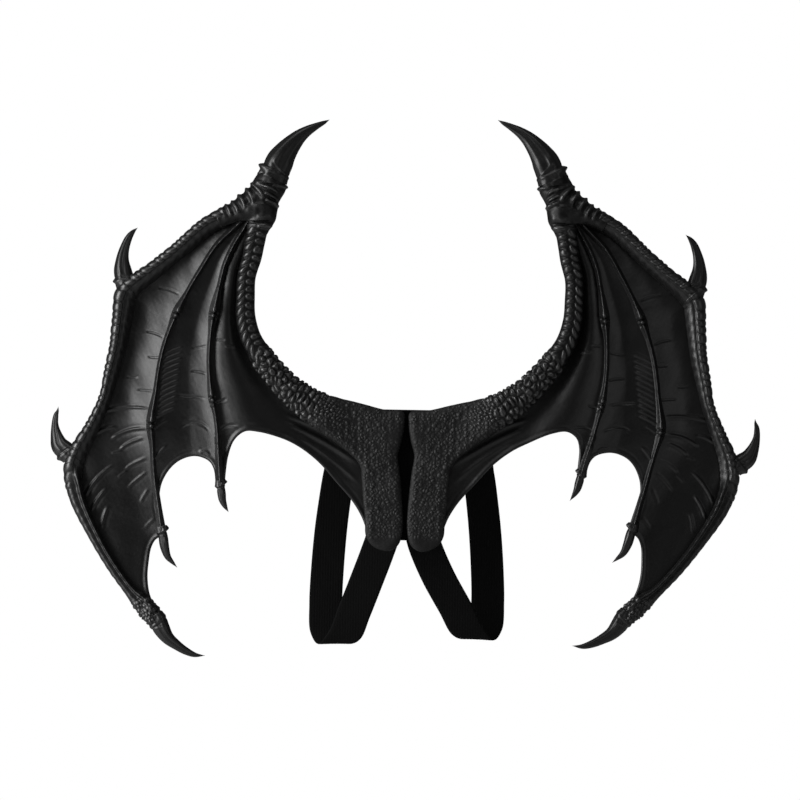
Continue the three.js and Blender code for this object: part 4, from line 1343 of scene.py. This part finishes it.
def build_wings():
    forms = bone_forms()
    wrist = wrist_form()
    membrane = membrane_form()
    lobe = lobe_form()
    for wing in WINGS:
        side = wing["name"]

        def put(name, form, finish, slot):
            points, faces, painted_light_and_gloss = form
            node_name = f"{name}_{side}"
            mesh = make_mesh(node_name + "_skin", on_wing(wing, points), faces, painted_light_and_gloss)
            return add_piece(mesh.name, mesh, finish, slot, node_name)

        for name, form in forms.items():
            finish, slot = FORM_LOOKS[name.split("_")[0]]
            if "claw" in name:
                finish, slot = CLAWS, "claw_foam"
            put(name, form, finish, slot)
        put("wrist", wrist, SCALED, "scaled_foam")
        put("membrane", membrane, FOAM_SKIN, "foam_skin")
        put("root_lobe", lobe, PEBBLED, "pebbled_foam")
        points, faces, length = strap_form(wing)
        strap = put("strap", (points, faces, None), ELASTIC, "elastic")


def build_panel():
    points, faces, _ = panel_form()
    flat_wing = {"sign": 1, "swing": 0.0, "rise": 0.0}
    mesh = make_mesh("back_panel_cloth", on_wing(flat_wing, points), faces)
    piece = add_piece("back_panel_cloth", mesh, PANEL_CLOTH, "panel_fabric", "back_panel")


# Camera, floor and light.
CAMERA_AWAY = 8.0
VIEW_WIDTH = 0.96  # across the picture, at the wings
VIEW_CENTRE = (-0.0084, -0.014, 0.0936)
ROLL = math.radians(1.0)
FLOOR_BELOW = 0.75
FLOOR_SIZE = 6.0
LIGHTS = (
    # name, place, size across and up, watts
    ("key", (-2.9, -1.3, 0.5), (1.5, 2.4), 125.0),
    ("top", (-0.4, -1.2, 2.4), (2.4, 1.2), 22.0),
    ("fill", (2.6, -2.2, 0.2), (1.2, 2.0), 7.0),
)
LIT_PLACE = (0.0, 0.0, 0.1)
ROOM_LIGHT = 0.09


def aim(item, target):
    way = np.array(target) - np.array(item.location)
    item.rotation_euler = (
        math.atan2(math.hypot(way[0], way[1]), -way[2]),
        0.0,
        math.atan2(way[1], way[0]) - math.pi / 2,
    )


def build_camera():
    data = bpy.data.cameras.new("camera")
    data.sensor_width = 36.0
    data.lens = data.sensor_width * CAMERA_AWAY / VIEW_WIDTH
    data.clip_end = 40.0
    camera = bpy.data.objects.new("camera", data)
    bpy.context.scene.collection.objects.link(camera)
    x, y, z = VIEW_CENTRE
    place = Matrix.Translation((x, y - CAMERA_AWAY, z))
    camera.matrix_world = place @ Matrix.Rotation(math.pi / 2, 4, "X") @ Matrix.Rotation(ROLL, 4, "Z")
    bpy.context.scene.camera = camera


def build_floor():
    half = FLOOR_SIZE / 2
    corners = [(x * half, y * half, -FLOOR_BELOW) for x, y in ((-1, -1), (1, -1), (1, 1), (-1, 1))]
    ground = bpy.data.meshes.new("floor")
    ground.from_pydata(corners, [], [(0, 1, 2, 3)])
    floor = bpy.data.objects.new("floor", ground)
    bpy.context.scene.collection.objects.link(floor)
    material, tree, shader, place = start_material("floor")
    tone = grey_between(tree, noise(tree, place, 2.0, 2.0), 0.8, 0.84)
    tree.links.new(tone, shader.inputs["Base Color"])
    shader.inputs["Roughness"].default_value = 0.9
    ground.materials.append(material)


def build_lights():
    for name, location, (size_across, size_up), watts in LIGHTS:
        data = bpy.data.lights.new(name, "AREA")
        data.shape = "RECTANGLE"
        data.size, data.size_y = size_across, size_up
        data.energy = watts
        lamp = bpy.data.objects.new(name, data)
        lamp.location = location
        aim(lamp, LIT_PLACE)
        bpy.context.scene.collection.objects.link(lamp)


def build_room():
    """White behind the wings, and a weak even light from all round."""
    world = bpy.data.worlds.new("studio")
    world.use_nodes = True
    bpy.context.scene.world = world
    tree = world.node_tree
    tree.nodes.clear()
    seen = node(tree, "ShaderNodeLightPath").outputs["Is Camera Ray"]
    room = node(tree, "ShaderNodeBackground", {"Color": grey(1.0), "Strength": ROOM_LIGHT})
    backdrop = node(tree, "ShaderNodeBackground", {"Color": grey(1.0), "Strength": 1.0})
    chosen = node(tree, "ShaderNodeMixShader", {0: seen, 1: room.outputs[0], 2: backdrop.outputs[0]})
    node(tree, "ShaderNodeOutputWorld", {"Surface": chosen.outputs[0]})
    bpy.context.scene.view_settings.view_transform = "Standard"


build_camera()
build_floor()
build_lights()
build_room()
build_panel()
build_wings()
